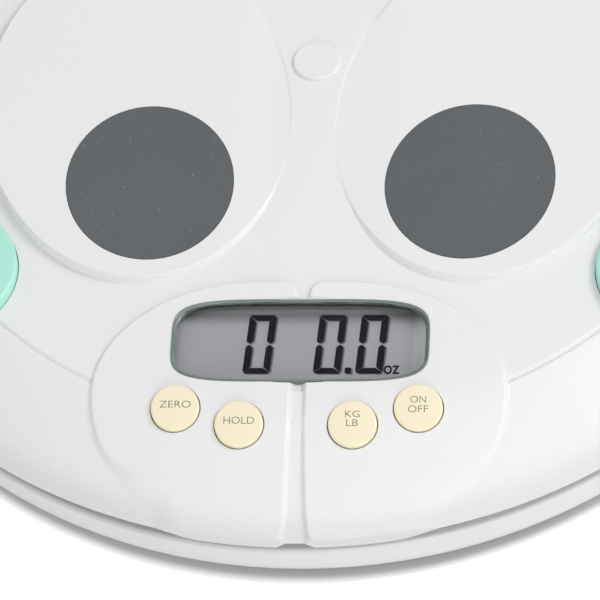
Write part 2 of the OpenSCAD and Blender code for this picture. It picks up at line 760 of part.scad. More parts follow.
module base_housing() {
    color(shade_white) difference() {
        union() {
            rotate_extrude($fn = 180) base_profile();
            difference() {
                translate([0, 0, base_z]) cylinder(r = ring_r, h = ring_top_z - base_z, $fn = 180);
                cylinder(r = ring_r - 2.2, h = far, $fn = 180);
                both() at_tray() translate([0, 0, ring_top_z - 5.5])
                    cylinder(r = tray_r + tray_gap + 3, h = far, $fn = 48);
            }
            at_bosses() translate([0, 0, base_z])
                cylinder(r = boss_r + 0.8, h = boss_meet_z - base_z, $fn = 32);
            both() at_tray() translate([0, 0, base_z])
                cylinder(r = tray_post_r, h = tray_post_top - base_z, $fn = 48);
            at_feet() for (x = [-cell_pin, cell_pin], y = [-cell_pin, cell_pin]) translate([x, y, base_z])
                cylinder(r = 3, h = cell_z - base_z, $fn = 24);
            at_feet() translate([0, 0, base_z]) cylinder(r = foot_r + 3, h = base_t + 1, $fn = 48);
            translate([-bay_w / 2 - 2.5, bay_y0 - 2.5, base_z + 1])
                cube([bay_w + 5, bay_l + 5, bay_top - base_z - 1]);
            inside_base(base_z + base_round) translate([-door_w / 2 - rail_w - 2, door_y0 - 3, base_z + 1])
                cube([door_w + 2 * rail_w + 4, far, channel_t + 1.2]);
        }
        at_bosses() {
            translate([0, 0, base_z - eps])
                cylinder(r = screw_head_r + loose_gap, h = screw_seat - base_z + eps, $fn = 32);
            translate([0, 0, base_z]) cylinder(r = screw_r + loose_gap, h = 40, $fn = 24);
        }
        both() at_tray() {
            translate([0, 0, -eps]) cylinder(r = tray_chamber_r, h = tray_shoulder_z + eps, $fn = 48);
            cylinder(r = tray_stem_r + button_gap, h = far, $fn = 48);
        }
        at_feet() {
            translate([0, 0, base_z - eps]) cylinder(r = foot_r + loose_gap, h = far, $fn = 48);
            for (a = [-cell_pin, cell_pin]) translate([a, a, floor_z])
                cylinder(r = pin_r + screw_gap, h = cell_z, $fn = 24);
        }
        // Battery bay, its sliding door's channel and the two rails that hold the door
        translate([-bay_w / 2, bay_y0, 0]) cube([bay_w, bay_l, bay_top - 2]);
        translate([-door_w / 2, door_y0, 0]) cube([door_w, far, base_z + channel_t]);
        translate([-door_w / 2 - rail_w, door_y0, base_z + door_lip])
            cube([door_w + 2 * rail_w, far, channel_t - door_lip]);
    }
}

module housing_screws() {
    color(steel) at_bosses() translate([0, 0, screw_seat - screw_head_h])
        screw(screw_head_r, screw_head_h, screw_r, screw_l);
}

// ---- Feet and load cells ----
module at_foot(x, y) {
    translate([x * foot_xy, y * foot_xy, 0]) children();
}

// Steel plate with a tongue cut free by a C-shaped slot: the foot pushes on the tongue
module load_cell() {
    slot = 1.6;
    ring = cell_w - 10;
    color(steel) translate([0, 0, cell_z]) difference() {
        translate([-cell_w / 2, -cell_w / 2, 0]) cube([cell_w, cell_w, cell_t]);
        translate([-ring / 2, -ring / 2, -eps]) cube([ring, slot, cell_t + 1]);
        for (x = [-ring / 2, ring / 2 - slot]) translate([x, -ring / 2, -eps])
            cube([slot, ring - 5, cell_t + 1]);
        for (x = [-4.5, 4.5 - slot]) translate([x, -2, -eps]) cube([slot, ring / 2 + 2, cell_t + 1]);
        for (a = [-cell_pin, cell_pin]) translate([a, a, -eps])
            cylinder(r = pin_r + 2 * screw_gap, h = cell_t + 1, $fn = 24);
    }
}

module foot() {
    color(shade_white) {
        translate([0, 0, sole_t]) cylinder(r = foot_r, h = cell_z - 1.5 - sole_t, $fn = 64);
        translate([0, -7, cell_z - 1.5 - eps]) cylinder(r = 3.5, h = 1.5 + eps, $fn = 32);
    }
}

module sole() {
    lip = 0.6;
    color([0.75, 0.76, 0.76]) rotate_extrude($fn = 64)
        polygon([
            [0, 0], [sole_r - lip, 0], [sole_r, lip], [sole_r, sole_t - lip], [sole_r - lip, sole_t],
            [0, sole_t]
        ]);
}

module load_cell_front_left() { at_foot(-1, -1) load_cell(); }
module load_cell_front_right() { at_foot(1, -1) load_cell(); }
module load_cell_back_left() { at_foot(-1, 1) load_cell(); }
module load_cell_back_right() { at_foot(1, 1) load_cell(); }
module foot_front_left() { at_foot(-1, -1) foot(); }
module foot_front_right() { at_foot(1, -1) foot(); }
module foot_back_left() { at_foot(-1, 1) foot(); }
module foot_back_right() { at_foot(1, 1) foot(); }
module sole_front_left() { at_foot(-1, -1) sole(); }
module sole_front_right() { at_foot(1, -1) sole(); }
module sole_back_left() { at_foot(-1, 1) sole(); }
module sole_back_right() { at_foot(1, 1) sole(); }

module cell_screws() {
    color(steel) at_feet() for (a = [-cell_pin, cell_pin])
        translate([a, a, cell_z + cell_t + pin_head_h])
            mirror([0, 0, 1]) screw(pin_head_r, pin_head_h, pin_r, cell_t + 2);
}

// ---- Batteries ----
aa_z = base_z + channel_t + aa_d / 2;
function aa_x(i) = (i - 1.5) * (aa_d + cell_gap);
function aa_turn(i) = i % 2 == 0 ? 0 : 180;
cell_y = bay_y0 + bay_l - contact_t - button_gap - aa_l / 2;

module battery_door() {
    l = door_back - door_y0 - loose_gap;
    color(shade_white) difference() {
        inside_base(base_z + base_round) union() {
            translate([-door_w / 2 + loose_gap, door_y0 + loose_gap, base_z])
                cube([door_w - 2 * loose_gap, l, door_t]);
            translate([-door_w / 2 - rail_w + loose_gap, door_y0 + loose_gap, base_z + door_lip + loose_gap])
                cube([door_w + 2 * rail_w - 2 * loose_gap, l, door_t - door_lip - loose_gap]);
        }
        for (i = [0:4]) translate([-12, door_back - 7 - 3 * i, base_z - eps]) cube([24, 1.4, 0.5]);
    }
}

module battery(i) {
    color([0.2, 0.45, 0.35]) translate([aa_x(i), cell_y, aa_z]) rotate([0, 0, aa_turn(i)]) rotate([-90, 0, 0]) {
        translate([0, 0, -aa_l / 2]) cylinder(r = aa_d / 2, h = aa_l - 1.2, $fn = 48);
        translate([0, 0, aa_l / 2 - 1.2 - eps]) cylinder(r = 2.7, h = 1.2 + eps, $fn = 24);
    }
}

module battery_1() { battery(0); }
module battery_2() { battery(1); }
module battery_3() { battery(2); }
module battery_4() { battery(3); }

contact_gap = cell_y - aa_l / 2 - bay_y0;
module battery_springs() {
    color(steel) for (i = [0:3]) translate([aa_x(i), bay_y0, aa_z]) {
        translate([-contact_w / 2, 0, -contact_w / 2]) cube([contact_w, contact_t, contact_w]);
        translate([0, contact_t - eps, 0]) rotate([-90, 0, 0])
            cylinder(r1 = contact_w * 0.42, r2 = contact_w * 0.26, h = contact_gap - contact_t - button_gap,
                $fn = 24);
    }
}

module battery_plates() {
    color(steel) for (i = [0:3])
        translate([aa_x(i) - contact_w / 2, bay_y0 + bay_l - contact_t, aa_z - contact_w / 2])
            cube([contact_w, contact_t, contact_w]);
}

// ---- Wires inside the housing: round tubes through points chosen by hand ----
wire_r = 0.9;
wire_sides = 8;
function unit(v) = v / norm(v);
function wire_ring(points, i) = let (
    before = points[max(i - 1, 0)], after = points[min(i + 1, len(points) - 1)],
    d = unit(after - before), s = unit(cross(d, abs(d.z) > 0.9 ? [1, 0, 0] : [0, 0, 1])), u = cross(s, d)
) [for (k = [0:wire_sides - 1]) let (a = 360 * k / wire_sides) points[i] + wire_r * (cos(a) * s + sin(a) * u)];

module wire(points) {
    n = len(points);
    rings = [for (i = [0:n - 1]) each wire_ring(points, i)];
    sides = [for (i = [0:n - 2], k = [0:wire_sides - 1]) let (
        a = i * wire_sides + k, b = i * wire_sides + (k + 1) % wire_sides
    ) each [[a, b, b + wire_sides], [a, b + wire_sides, a + wire_sides]]];
    start = [for (k = [wire_sides - 1:-1:0]) k];
    end = [for (k = [0:wire_sides - 1]) (n - 1) * wire_sides + k];
    polyhedron(rings, concat(sides, [start, end]));
}

plug_y = -lens_y + 11.4;
front_wire = [
    [12 - foot_xy, -foot_xy, 12], [17.8 - foot_xy, -foot_xy, 12], [21 - foot_xy, 1 - foot_xy, 9.5],
    [26 - foot_xy, 5 - foot_xy, 7.7], [-34, plug_y + 35.6, 7.7], [-20, plug_y + 31.6, 10],
    [-12, plug_y + 19.6, 18], [-9.5, plug_y + 7.6, 25], [-9.5, plug_y + 1.1, 29], [-9.5, plug_y, 31.1]
];
back_wire = [
    [12 - foot_xy, foot_xy, 12], [17.8 - foot_xy, foot_xy, 12], [21 - foot_xy, foot_xy - 1, 9.5],
    [26 - foot_xy, foot_xy - 5, 7.7], [-50, 40, 7.7], [-40, 10, 7.7], [-32, -20, 7.7],
    [-20, plug_y + 47.6, 8.5], [-10, plug_y + 27.6, 14], [-5, plug_y + 11.6, 22],
    [-4.5, plug_y + 1.1, 29], [-4.5, plug_y, 31.1]
];

module sensor_wires() {
    color(wire_red) {
        wire(front_wire);
        wire(back_wire);
        mirror([1, 0, 0]) wire(front_wire);
        mirror([1, 0, 0]) wire(back_wire);
    }
}

module battery_wires() {
    color(black) wire([
        [6, bay_y0 - 2.8, 14], [6, bay_y0 - 7, 13], [5, bay_y0 - 16, 8.5], [1, bay_y0 - 43, 7.7], [0, 20, 7.7],
        [0, plug_y + 47.6, 8.5], [0, plug_y + 27.6, 14], [0, plug_y + 11.6, 22], [0, plug_y + 1.1, 29],
        [0, plug_y, 31.1]
    ]);
}

top_cover();
foot_pad_left();
foot_pad_right();
centre_cap();
display_lens();
display_gasket();
lcd_panel();
lcd_digits();
lcd_holder();
contact_strips();
main_board();
board_chips();
board_screws();
zero_button();
hold_button();
unit_button();
power_button();
key_mat();
key_board();
key_board_screws();
tray_button_left();
tray_button_right();
tray_spring_left();
tray_spring_right();
tray_washer_left();
tray_washer_right();
base_housing();
housing_screws();
load_cell_front_left();
load_cell_front_right();
load_cell_back_left();
load_cell_back_right();
foot_front_left();
foot_front_right();
foot_back_left();
foot_back_right();
sole_front_left();
sole_front_right();
sole_back_left();
sole_back_right();
cell_screws();
battery_door();
battery_1();
battery_2();
battery_3();
battery_4();
battery_springs();
battery_plates();
sensor_wires();
battery_wires();
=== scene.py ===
# %% [markdown]
# # A round baby and toddler scale
# The measured model comes in first and stays where it is. Everything made below is laid on it, in the same
# frame: the floor is z = 0, the middle of the scale is x = y = 0, and the display side looks towards -y.

import bpy
import bmesh
import json
import math
import numpy as np
from mathutils import Matrix, Vector, geometry


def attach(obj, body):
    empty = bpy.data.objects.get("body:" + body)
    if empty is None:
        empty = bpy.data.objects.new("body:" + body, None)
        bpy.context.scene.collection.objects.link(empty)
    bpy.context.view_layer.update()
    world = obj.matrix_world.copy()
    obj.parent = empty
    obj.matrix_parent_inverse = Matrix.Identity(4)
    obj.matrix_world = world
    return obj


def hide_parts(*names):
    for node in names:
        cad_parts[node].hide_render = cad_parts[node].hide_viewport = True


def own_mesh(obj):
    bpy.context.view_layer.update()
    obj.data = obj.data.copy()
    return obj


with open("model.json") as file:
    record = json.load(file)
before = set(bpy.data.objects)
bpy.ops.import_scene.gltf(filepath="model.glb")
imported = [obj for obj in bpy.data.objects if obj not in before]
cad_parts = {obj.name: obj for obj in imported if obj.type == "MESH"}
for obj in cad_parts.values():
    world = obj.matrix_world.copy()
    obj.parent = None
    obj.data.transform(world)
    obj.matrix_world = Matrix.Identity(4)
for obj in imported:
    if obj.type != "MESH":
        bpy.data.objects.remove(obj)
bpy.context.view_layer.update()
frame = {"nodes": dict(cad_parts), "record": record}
nodes = frame["nodes"]
MM = 0.001

# %% [markdown]
# ## Camera
# The photograph is a close view from the front and above, a little from the right and slightly rolled. The
# focal length and the off-centre shift come from fitting the round rim, the pads, the display and the buttons.

# %% Camera
ELEVATION, AZIMUTH, ROLL = (math.radians(a) for a in (53.37, 8.66, 7.17))
AIM, DISTANCE, SENSOR = Vector((0, -0.06, 0.03)), 1.4, 36
PHOTO_WIDTH, FOCAL_PX, CENTRE_PX = 600, 4402.5, (312.15, 247.62)


def in_scene(name, data):
    """An object for the data, linked to the scene, at the origin."""
    thing = bpy.data.objects.new(name, data)
    bpy.context.scene.collection.objects.link(thing)
    return thing


look = Vector((
    -math.sin(AZIMUTH) * math.cos(ELEVATION),
    math.cos(AZIMUTH) * math.cos(ELEVATION),
    -math.sin(ELEVATION),
))
level = Vector((math.cos(AZIMUTH), math.sin(AZIMUTH), 0))
above = level.cross(look)
right = math.cos(ROLL) * level - math.sin(ROLL) * above
up = math.sin(ROLL) * level + math.cos(ROLL) * above
camera = in_scene("camera", bpy.data.cameras.new("camera"))
axes = Matrix((right, up, -look)).transposed().to_4x4()
camera.matrix_world = Matrix.Translation(AIM - DISTANCE * look) @ axes
camera.data.sensor_width = SENSOR
camera.data.lens = FOCAL_PX / PHOTO_WIDTH * SENSOR
camera.data.shift_x = (PHOTO_WIDTH / 2 - CENTRE_PX[0]) / PHOTO_WIDTH
camera.data.shift_y = (CENTRE_PX[1] - PHOTO_WIDTH / 2) / PHOTO_WIDTH
camera.data.clip_end = 20
bpy.context.scene.camera = camera
print("camera at", [round(c, 3) for c in camera.location])

# %% [markdown]
# ## Finishes
# Moulded plastic is never one flat colour: the tone drifts slowly over the part, the mould leaves a very fine
# grain, and the gloss changes with it. One helper builds that from noise on Object coordinates, so that the
# pattern stays on the piece from every side. Plain numbers sit on the shader's own sockets.


# %% A helper for moulded and cast finishes
def new_material(name):
    material = bpy.data.materials.new(name)
    material.use_nodes = True
    tree = material.node_tree
    shader = tree.nodes["Principled BSDF"]
    place = tree.nodes.new("ShaderNodeTexCoord")
    return material, tree, shader, place


def noise(tree, place, scale, detail=3.0, stretch=None):
    texture = tree.nodes.new("ShaderNodeTexNoise")
    texture.inputs["Scale"].default_value = scale
    texture.inputs["Detail"].default_value = detail
    source = place.outputs["Object"]
    if stretch:
        mapping = tree.nodes.new("ShaderNodeMapping")
        mapping.inputs["Scale"].default_value = stretch
        tree.links.new(source, mapping.inputs["Vector"])
        source = mapping.outputs["Vector"]
    tree.links.new(source, texture.inputs["Vector"])
    return texture.outputs["Fac"]


def ramp(tree, source, low, high, start=0.35, end=0.65, how="LINEAR"):
    node = tree.nodes.new("ShaderNodeValToRGB")
    node.color_ramp.interpolation = how
    node.color_ramp.elements[0].position = start
    node.color_ramp.elements[1].position = end
    node.color_ramp.elements[0].color = (*low, 1)
    node.color_ramp.elements[1].color = (*high, 1)
    tree.links.new(source, node.inputs["Fac"])
    return node.outputs["Color"]


def grey(value):
    return (value, value, value)


BUMP_STRENGTH, COAT_ROUGHNESS = 0.4, 0.12


def bump(tree, shader, source, height):
    node = tree.nodes.new("ShaderNodeBump")
    node.inputs["Distance"].default_value = height
    node.inputs["Strength"].default_value = BUMP_STRENGTH
    tree.links.new(source, node.inputs["Height"])
    tree.links.new(node.outputs["Normal"], shader.inputs["Normal"])


def moulded(name, colour, drift, rough, grain, depth, metal=0.0, stretch=None, coat=0.0, specular=0.5):
    """A finish whose tone drifts by the share drift, with a fine grain of the given depth in metres."""
    material, tree, shader, place = new_material(name)
    slow = noise(tree, place, 14, 4.0)
    fine = noise(tree, place, grain, 2.0, stretch)
    low = tuple(c * (1 - drift) for c in colour)
    high = tuple(min(c * (1 + drift), 1) for c in colour)
    tree.links.new(ramp(tree, slow, low, high), shader.inputs["Base Color"])
    tree.links.new(ramp(tree, fine, grey(rough[0]), grey(rough[1])), shader.inputs["Roughness"])
    bump(tree, shader, fine, depth)
    shader.inputs["Metallic"].default_value = metal
    shader.inputs["Specular IOR Level"].default_value = specular
    shader.inputs["Coat Weight"].default_value = coat
    shader.inputs["Coat Roughness"].default_value = COAT_ROUGHNESS
    return material


# %% [markdown]
# Some shade and light is painted into the colour: a panel is darker under the edge of its opening, for example.
# A distance along an axis of the Object coordinates, eased between two places, gives a factor that is
# multiplied into the colour.

# %% Helpers for painted shade and light that follow the shape
AXES = {"X": (1, 0, 0), "Y": (0, 1, 0), "Z": (0, 0, 1)}


def along(tree, place, axis):
    """How far a point lies along an axis, as X, Y or Z of the Object coordinates or as a direction."""
    node = tree.nodes.new("ShaderNodeVectorMath")
    node.operation = "DOT_PRODUCT"
    node.inputs[1].default_value = AXES[axis] if isinstance(axis, str) else axis
    tree.links.new(place.outputs["Object"], node.inputs[0])
    return node.outputs["Value"]


def falloff(tree, place, axis, edge, inner, lowest):
    """A factor that goes from lowest, a value or a socket, at edge to 1 at inner, along an axis."""
    node = tree.nodes.new("ShaderNodeMapRange")
    node.interpolation_type = "SMOOTHSTEP"
    node.inputs["From Min"].default_value = edge
    node.inputs["From Max"].default_value = inner
    if isinstance(lowest, float):
        node.inputs["To Min"].default_value = lowest
    else:
        tree.links.new(lowest, node.inputs["To Min"])
    tree.links.new(along(tree, place, axis), node.inputs["Value"])
    return node.outputs["Result"]


def product(tree, first, second):
    node = tree.nodes.new("ShaderNodeVectorMath")
    node.operation = "MULTIPLY"
    tree.links.new(first, node.inputs[0])
    tree.links.new(second, node.inputs[1])
    return node.outputs["Vector"]


# %% [markdown]
# The record names a slot for each solid, so there is one finish per slot. The cover is smooth white ABS, the
# foot pads are matte rubber with specks of dust, and the inner parts are bare plastic, steel and solder resist.

# %% One finish per slot
finish = {
    "white_plastic": moulded("white_plastic", (0.812, 0.812, 0.816), 0.004, (0.27, 0.31), 2600, 0.0000012),
    "base_plastic": moulded("base_plastic", (0.76, 0.765, 0.76), 0.01, (0.34, 0.42), 1700, 0.000008),
    "cream_plastic": moulded("cream_plastic", (0.90, 0.82, 0.60), 0.01, (0.30, 0.38), 1500, 0.000006),
    "mint_plastic": moulded("mint_plastic", (0.42, 0.80, 0.68), 0.012, (0.30, 0.37), 1500, 0.000006),
    "inner_plastic": moulded("inner_plastic", (0.66, 0.66, 0.62), 0.02, (0.5, 0.6), 1200, 0.00002),
    "circuit_board": moulded("circuit_board", (0.015, 0.13, 0.05), 0.15, (0.2, 0.35), 900, 0.00002),
    "chip_plastic": moulded("chip_plastic", (0.02, 0.02, 0.022), 0.2, (0.5, 0.7), 2500, 0.00002),
    "contact_rubber": moulded("contact_rubber", (0.42, 0.43, 0.46), 0.05, (0.6, 0.75), 1200, 0.00002),
    "dark_gasket": moulded("dark_gasket", (0.055, 0.095, 0.08), 0.1, (0.16, 0.26), 1200, 0.00001, coat=0.5),
    "lcd_ink": moulded("lcd_ink", (0.014, 0.012, 0.016), 0.1, (0.5, 0.6), 1500, 0.000002, specular=0.0),
    "screw_steel": moulded("screw_steel", (0.62, 0.61, 0.58), 0.05, (0.25, 0.4), 2500, 0.00001, metal=1.0),
    "spring_steel": moulded("spring_steel", (0.66, 0.66, 0.66), 0.05, (0.15, 0.3), 2500, 0.00001, metal=1.0),
    "cell_steel": moulded("cell_steel", (0.55, 0.55, 0.57), 0.05, (0.2, 0.45), 900, 0.00002, 1.0, (1, 14, 14)),
    "sole_rubber": moulded("sole_rubber", (0.40, 0.41, 0.41), 0.08, (0.65, 0.8), 1800, 0.00004),
    "battery_wrap": moulded("battery_wrap", (0.06, 0.19, 0.13), 0.08, (0.18, 0.3), 600, 0.00001, coat=0.4),
    "red_wire": moulded("red_wire", (0.42, 0.03, 0.03), 0.08, (0.4, 0.5), 1500, 0.00001),
    "black_wire": moulded("black_wire", (0.02, 0.02, 0.02), 0.1, (0.4, 0.5), 1500, 0.00001),
    "legend_ink": moulded("legend_ink", (0.17, 0.165, 0.15), 0.1, (0.5, 0.6), 3000, 0.000002),
}
print("finishes:", len(finish))

# %% [markdown]
# Shade is painted into the cover's colour, a little darker close to its edge, where the floor no longer sends
# light up to it.

# %% Painted shade at the cover's edge
def paint_shade(slot, factor_of):
    """Paints shade into a finish: multiplies its colour by the factor that factor_of builds in its tree."""
    tree = finish[slot].node_tree
    shader, place = tree.nodes["Principled BSDF"], tree.nodes["Texture Coordinate"]
    plain = shader.inputs["Base Color"].links[0].from_socket
    tree.links.new(product(tree, plain, factor_of(tree, place)), shader.inputs["Base Color"])
    print("tone of", slot, "follows the shape")


paint_shade("white_plastic", lambda tree, place: falloff(tree, place, "Z", 0.0275, 0.0350, 0.87))

# %% [markdown]
# The base meets the cover in a narrow gap. Little light gets in there, least on the left, where the photograph
# shows a dark line. So the base's tone falls off towards its upper edge, and less so towards the right.

# %% Shade at the base's upper edge
def base_shade(tree, place):
    in_gap = falloff(tree, place, "Z", 0.0196, 0.0183, 0.8)
    return falloff(tree, place, "X", -0.06, 0.04, in_gap)


paint_shade("base_plastic", base_shade)

# %% [markdown]
# The pads are grey rubber. On the photograph they are even, with a faint grain and a few pale specks, so the
# specks are the peaks of a stretched noise, mixed over the drifting grey.

# %% Foot pad rubber
pad, tree, shader, place = new_material("grey_rubber")
tone = ramp(tree, noise(tree, place, 30, 4.0), (0.098, 0.107, 0.114), (0.106, 0.115, 0.121))
specks = ramp(tree, noise(tree, place, 1500, 1.0, (1.0, 0.4, 1.0)), (0, 0, 0), (1, 1, 1), 0.70, 0.82)
mix = tree.nodes.new("ShaderNodeMix")
mix.data_type = "RGBA"
tree.links.new(specks, mix.inputs["Factor"])
tree.links.new(tone, mix.inputs["A"])
mix.inputs["B"].default_value = (0.24, 0.25, 0.25, 1)
tree.links.new(mix.outputs["Result"], shader.inputs["Base Color"])
fine = noise(tree, place, 2600, 2.0)
tree.links.new(ramp(tree, fine, grey(0.55), grey(0.7)), shader.inputs["Roughness"])
bump(tree, shader, fine, 0.00003)
finish["grey_rubber"] = pad

# %% [markdown]
# The display window is clear glass. A shadow ray passes straight through it, so the panel underneath is lit.
# The panel is a grey reflector. The deep opening keeps light from its back and left edges, and its right edge
# catches light. The reflector's tone follows this, as eased distances from those edges.

# %% Window glass and display panel
glass, tree, shader, place = new_material("clear_lens")
shader.inputs["Base Color"].default_value = (0.96, 0.98, 0.98, 1)
shader.inputs["Transmission Weight"].default_value = 1.0
shader.inputs["IOR"].default_value = 1.12
fine = noise(tree, place, 60, 2.0)
tree.links.new(ramp(tree, fine, grey(0.0), grey(0.02)), shader.inputs["Roughness"])
path = tree.nodes.new("ShaderNodeLightPath")
clear = tree.nodes.new("ShaderNodeBsdfTransparent")
either = tree.nodes.new("ShaderNodeMixShader")
tree.links.new(path.outputs["Is Shadow Ray"], either.inputs["Fac"])
tree.links.new(shader.outputs["BSDF"], either.inputs[1])
tree.links.new(clear.outputs["BSDF"], either.inputs[2])
tree.links.new(either.outputs["Shader"], tree.nodes["Material Output"].inputs["Surface"])
finish["clear_lens"] = glass
panel, tree, shader, place = new_material("lcd_glass")
tone = ramp(tree, noise(tree, place, 40), (0.304, 0.300, 0.315), (0.310, 0.306, 0.321))
from_back = falloff(tree, place, "Y", -0.0954, -0.1010, falloff(tree, place, "Y", -0.0960, -0.0944, 0.55))
from_left = falloff(tree, place, "X", -0.0385, -0.0368, 0.85)
from_right = falloff(tree, place, "X", 0.0392, 0.0335, 2.9)
shaded = product(tree, product(tree, product(tree, tone, from_back), from_left), from_right)
tree.links.new(shaded, shader.inputs["Base Color"])
tree.links.new(ramp(tree, noise(tree, place, 2200), grey(0.35), grey(0.42)), shader.inputs["Roughness"])
shader.inputs["Specular IOR Level"].default_value = 0.1
finish["lcd_glass"] = panel

for part in frame["record"]["subparts"]:
    solid = nodes[part["node"]]
    if not solid.material_slots:
        solid.data.materials.append(None)
    for held in solid.material_slots:
        held.material = finish[part["material_slot"]]
print("dressed", len(nodes), "solids")


# %% [markdown]
# ## Helpers that turn points into pieces
# Each piece is one mesh with its place in its points. Every piece rides on a body of the frame, takes the
# finish of its slot or a material of its own, and hides the solid it stands for, if there is one.


# %% Mesh helpers
def keep(name, mesh, body, slot, *stands_for, material=None):
    piece = in_scene(name, mesh)
    mesh.materials.clear()
    mesh.materials.append(material or finish[slot])
    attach(piece, body)
    if stands_for:
        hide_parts(*stands_for)
    mesh.calc_loop_triangles()
    print(name, "on", body, "with", len(mesh.loop_triangles), "triangles")
    return piece


def mesh_from(name, points, faces, angle=32, outward=True):
    """A smooth mesh from points in millimetres, sharp where two faces meet at more than angle degrees."""
    mesh = bpy.data.meshes.new(name)
    mesh.from_pydata([tuple(c * MM for c in p) for p in points], [], [tuple(f) for f in faces])
    if outward:
        work = bmesh.new()
        work.from_mesh(mesh)
        bmesh.ops.recalc_face_normals(work, faces=work.faces)
        work.to_mesh(mesh)
        work.free()
    mesh.shade_smooth()
    mesh.set_sharp_from_angle(angle=math.radians(angle))
    return mesh


def bridge(first, second):
    """Quads between two rings of point numbers."""
    n = len(first)
    return [(first[k], first[(k + 1) % n], second[(k + 1) % n], second[k]) for k in range(n)]


def tilted(origin, tilt):
    """Maps local (x, y, z) millimetres to the row frame, tilted towards the user by tilt degrees."""
    c, s = math.cos(math.radians(tilt)), math.sin(math.radians(tilt))
    turn = np.array([[1, 0, 0], [0, c, -s], [0, s, c]])
    return lambda local: np.asarray(local, float) @ turn.T + np.asarray(origin, float)


# %% [markdown]
# ## The cover's surface
# The cover is one moulding, and every detail on it is a change of height: a shallow dome, a fine crease, a
# rounded skirt, two dishes for the feet and two lobes around the controls. So the top is written as one
# function of x and y, in millimetres, with soft steps at the edges of the dishes and lobes.

# %% Dome, crease and skirt
EDGE_R, CREASE_R, TOP_Z, EDGE_Z = 169.5, 137.5, 49.5, 27.0
DOME_RISE, WALL, DISH_Z, LOBE_RISE, BLEND = 4.5, 2.5, 50.0, 1.2, 8.0
CREASE_Z = TOP_Z - DOME_RISE
DOME_R = (CREASE_R**2 + DOME_RISE**2) / (2 * DOME_RISE)
SKIRT_HALF_ARC = math.radians(12)
chord = np.array([EDGE_R - CREASE_R, EDGE_Z - CREASE_Z])
SKIRT_R = np.hypot(*chord) / 2 / math.sin(SKIRT_HALF_ARC)
SKIRT_C = (
    np.array([EDGE_R + CREASE_R, EDGE_Z + CREASE_Z]) / 2
    - np.array([-chord[1], chord[0]]) / np.hypot(*chord) * SKIRT_R * math.cos(SKIRT_HALF_ARC)
)


def dome(off, r):
    return TOP_Z - DOME_R + np.sqrt((DOME_R + off) ** 2 - r**2)


def skirt(off, r):
    return SKIRT_C[1] + np.sqrt(np.maximum((SKIRT_R + off) ** 2 - (r - SKIRT_C[0]) ** 2, 0))


def plain_cover(off, r):
    return np.where(r < CREASE_R, dome(off, np.minimum(r, CREASE_R)), skirt(off, np.maximum(r, CREASE_R)))


def lobe_top(r):
    """The lobes follow the cover, LOBE_RISE above it, and round its crease away."""
    t = np.clip((r - CREASE_R + BLEND) / (2 * BLEND), 0, 1)
    first, last = dome(LOBE_RISE, CREASE_R - BLEND), skirt(LOBE_RISE, CREASE_R + BLEND)
    corner = (dome(LOBE_RISE, CREASE_R) + skirt(LOBE_RISE, CREASE_R)) / 2 + 0.01
    rounded = first * (1 - t) ** 2 + corner * 2 * t * (1 - t) + last * t**2
    on_dome, on_skirt = dome(LOBE_RISE, np.minimum(r, CREASE_R)), skirt(LOBE_RISE, np.maximum(r, CREASE_R))
    return np.where(r < CREASE_R - BLEND, on_dome, np.where(r > CREASE_R + BLEND, on_skirt, rounded))


print("skirt arc radius", round(float(SKIRT_R), 2), "mm")

# %% [markdown]
# Dishes and lobes need the distance from a point to their outline, positive inside. For an ellipse a good
# estimate near the edge is enough. For the lobes the nearest piece of their outline is found.

# %% Outlines of dishes, pads and lobes
DISH = ((57.2, -18.7), 50.4, 68.6, -9.5)
PAD = ((50.8, -48.6), 26.6, 30.4, -9.5)


def ellipse(shape, grow, n=240):
    (cx, cy), a, b, lean = shape
    t = np.linspace(0, 2 * np.pi, n, endpoint=False)
    x, y = (a + grow) * np.cos(t), (b + grow) * np.sin(t)
    c, s = math.cos(math.radians(lean)), math.sin(math.radians(lean))
    return np.stack([cx + x * c - y * s, cy + x * s + y * c], -1)


def inside_ellipse(shape, x, y):
    (cx, cy), a, b, lean = shape
    c, s = math.cos(math.radians(lean)), math.sin(math.radians(lean))
    u, v = (x - cx) * c + (y - cy) * s, -(x - cx) * s + (y - cy) * c
    q = np.sqrt((u / a) ** 2 + (v / b) ** 2) + 1e-9
    return (1 - q) * q / np.sqrt((u / a**2) ** 2 + (v / b**2) ** 2 + 1e-12)


def lobe_outline(spacing=1.3):
    """The right lobe: a small corner, the long outer arc, and the groove's side, in steps of the spacing."""
    def arc(cx, cy, a, b, first, last, n):
        t = np.radians(np.linspace(first, last, n))
        return np.stack([cx + a * np.cos(t), cy + b * np.sin(t)], -1)

    corners = np.concatenate([
        arc(6.7, -91.2, 5, 5, 180, 90, 12), arc(14.3, -126, 50.3, 39.8, 90, 0, 60),
        arc(14.3, -126, 50.3, 43, 0, -math.degrees(math.acos(0.6)), 40)[1:],
        [[44.48, -178], [4.7, -178], [3.5, -168.5], [2.7, -163.5], [2.3, -155.5], [1.8, -138], [1.7, -91.2]],
    ])
    run = np.concatenate([[0], np.cumsum(np.hypot(*np.diff(corners, axis=0).T))])
    at = np.linspace(0, run[-1], int(run[-1] / spacing), endpoint=False)
    return np.stack([np.interp(at, run, corners[:, k]) for k in (0, 1)], -1)


LOBE = lobe_outline()
print("lobe outline:", len(LOBE), "points")


# %% Distance to a lobe's outline
FAR_OUTSIDE, LOBE_BACK, LOBE_SIDE = -9.0, -82, 70


def inside_ring(p, ring):
    """Counts how often a line from each point crosses the ring: an odd count means inside."""
    a, b = ring[None, :, :2], np.roll(ring, -1, 0)[None, :, :2]
    x, y = p[:, None, 0], p[:, None, 1]
    crossed = (a[..., 1] > y) != (b[..., 1] > y)
    rise = np.where(b[..., 1] == a[..., 1], 1e-9, b[..., 1] - a[..., 1])
    at = a[..., 0] + (y - a[..., 1]) / rise * (b[..., 0] - a[..., 0])
    return (crossed & (x < at)).sum(1) % 2 == 1


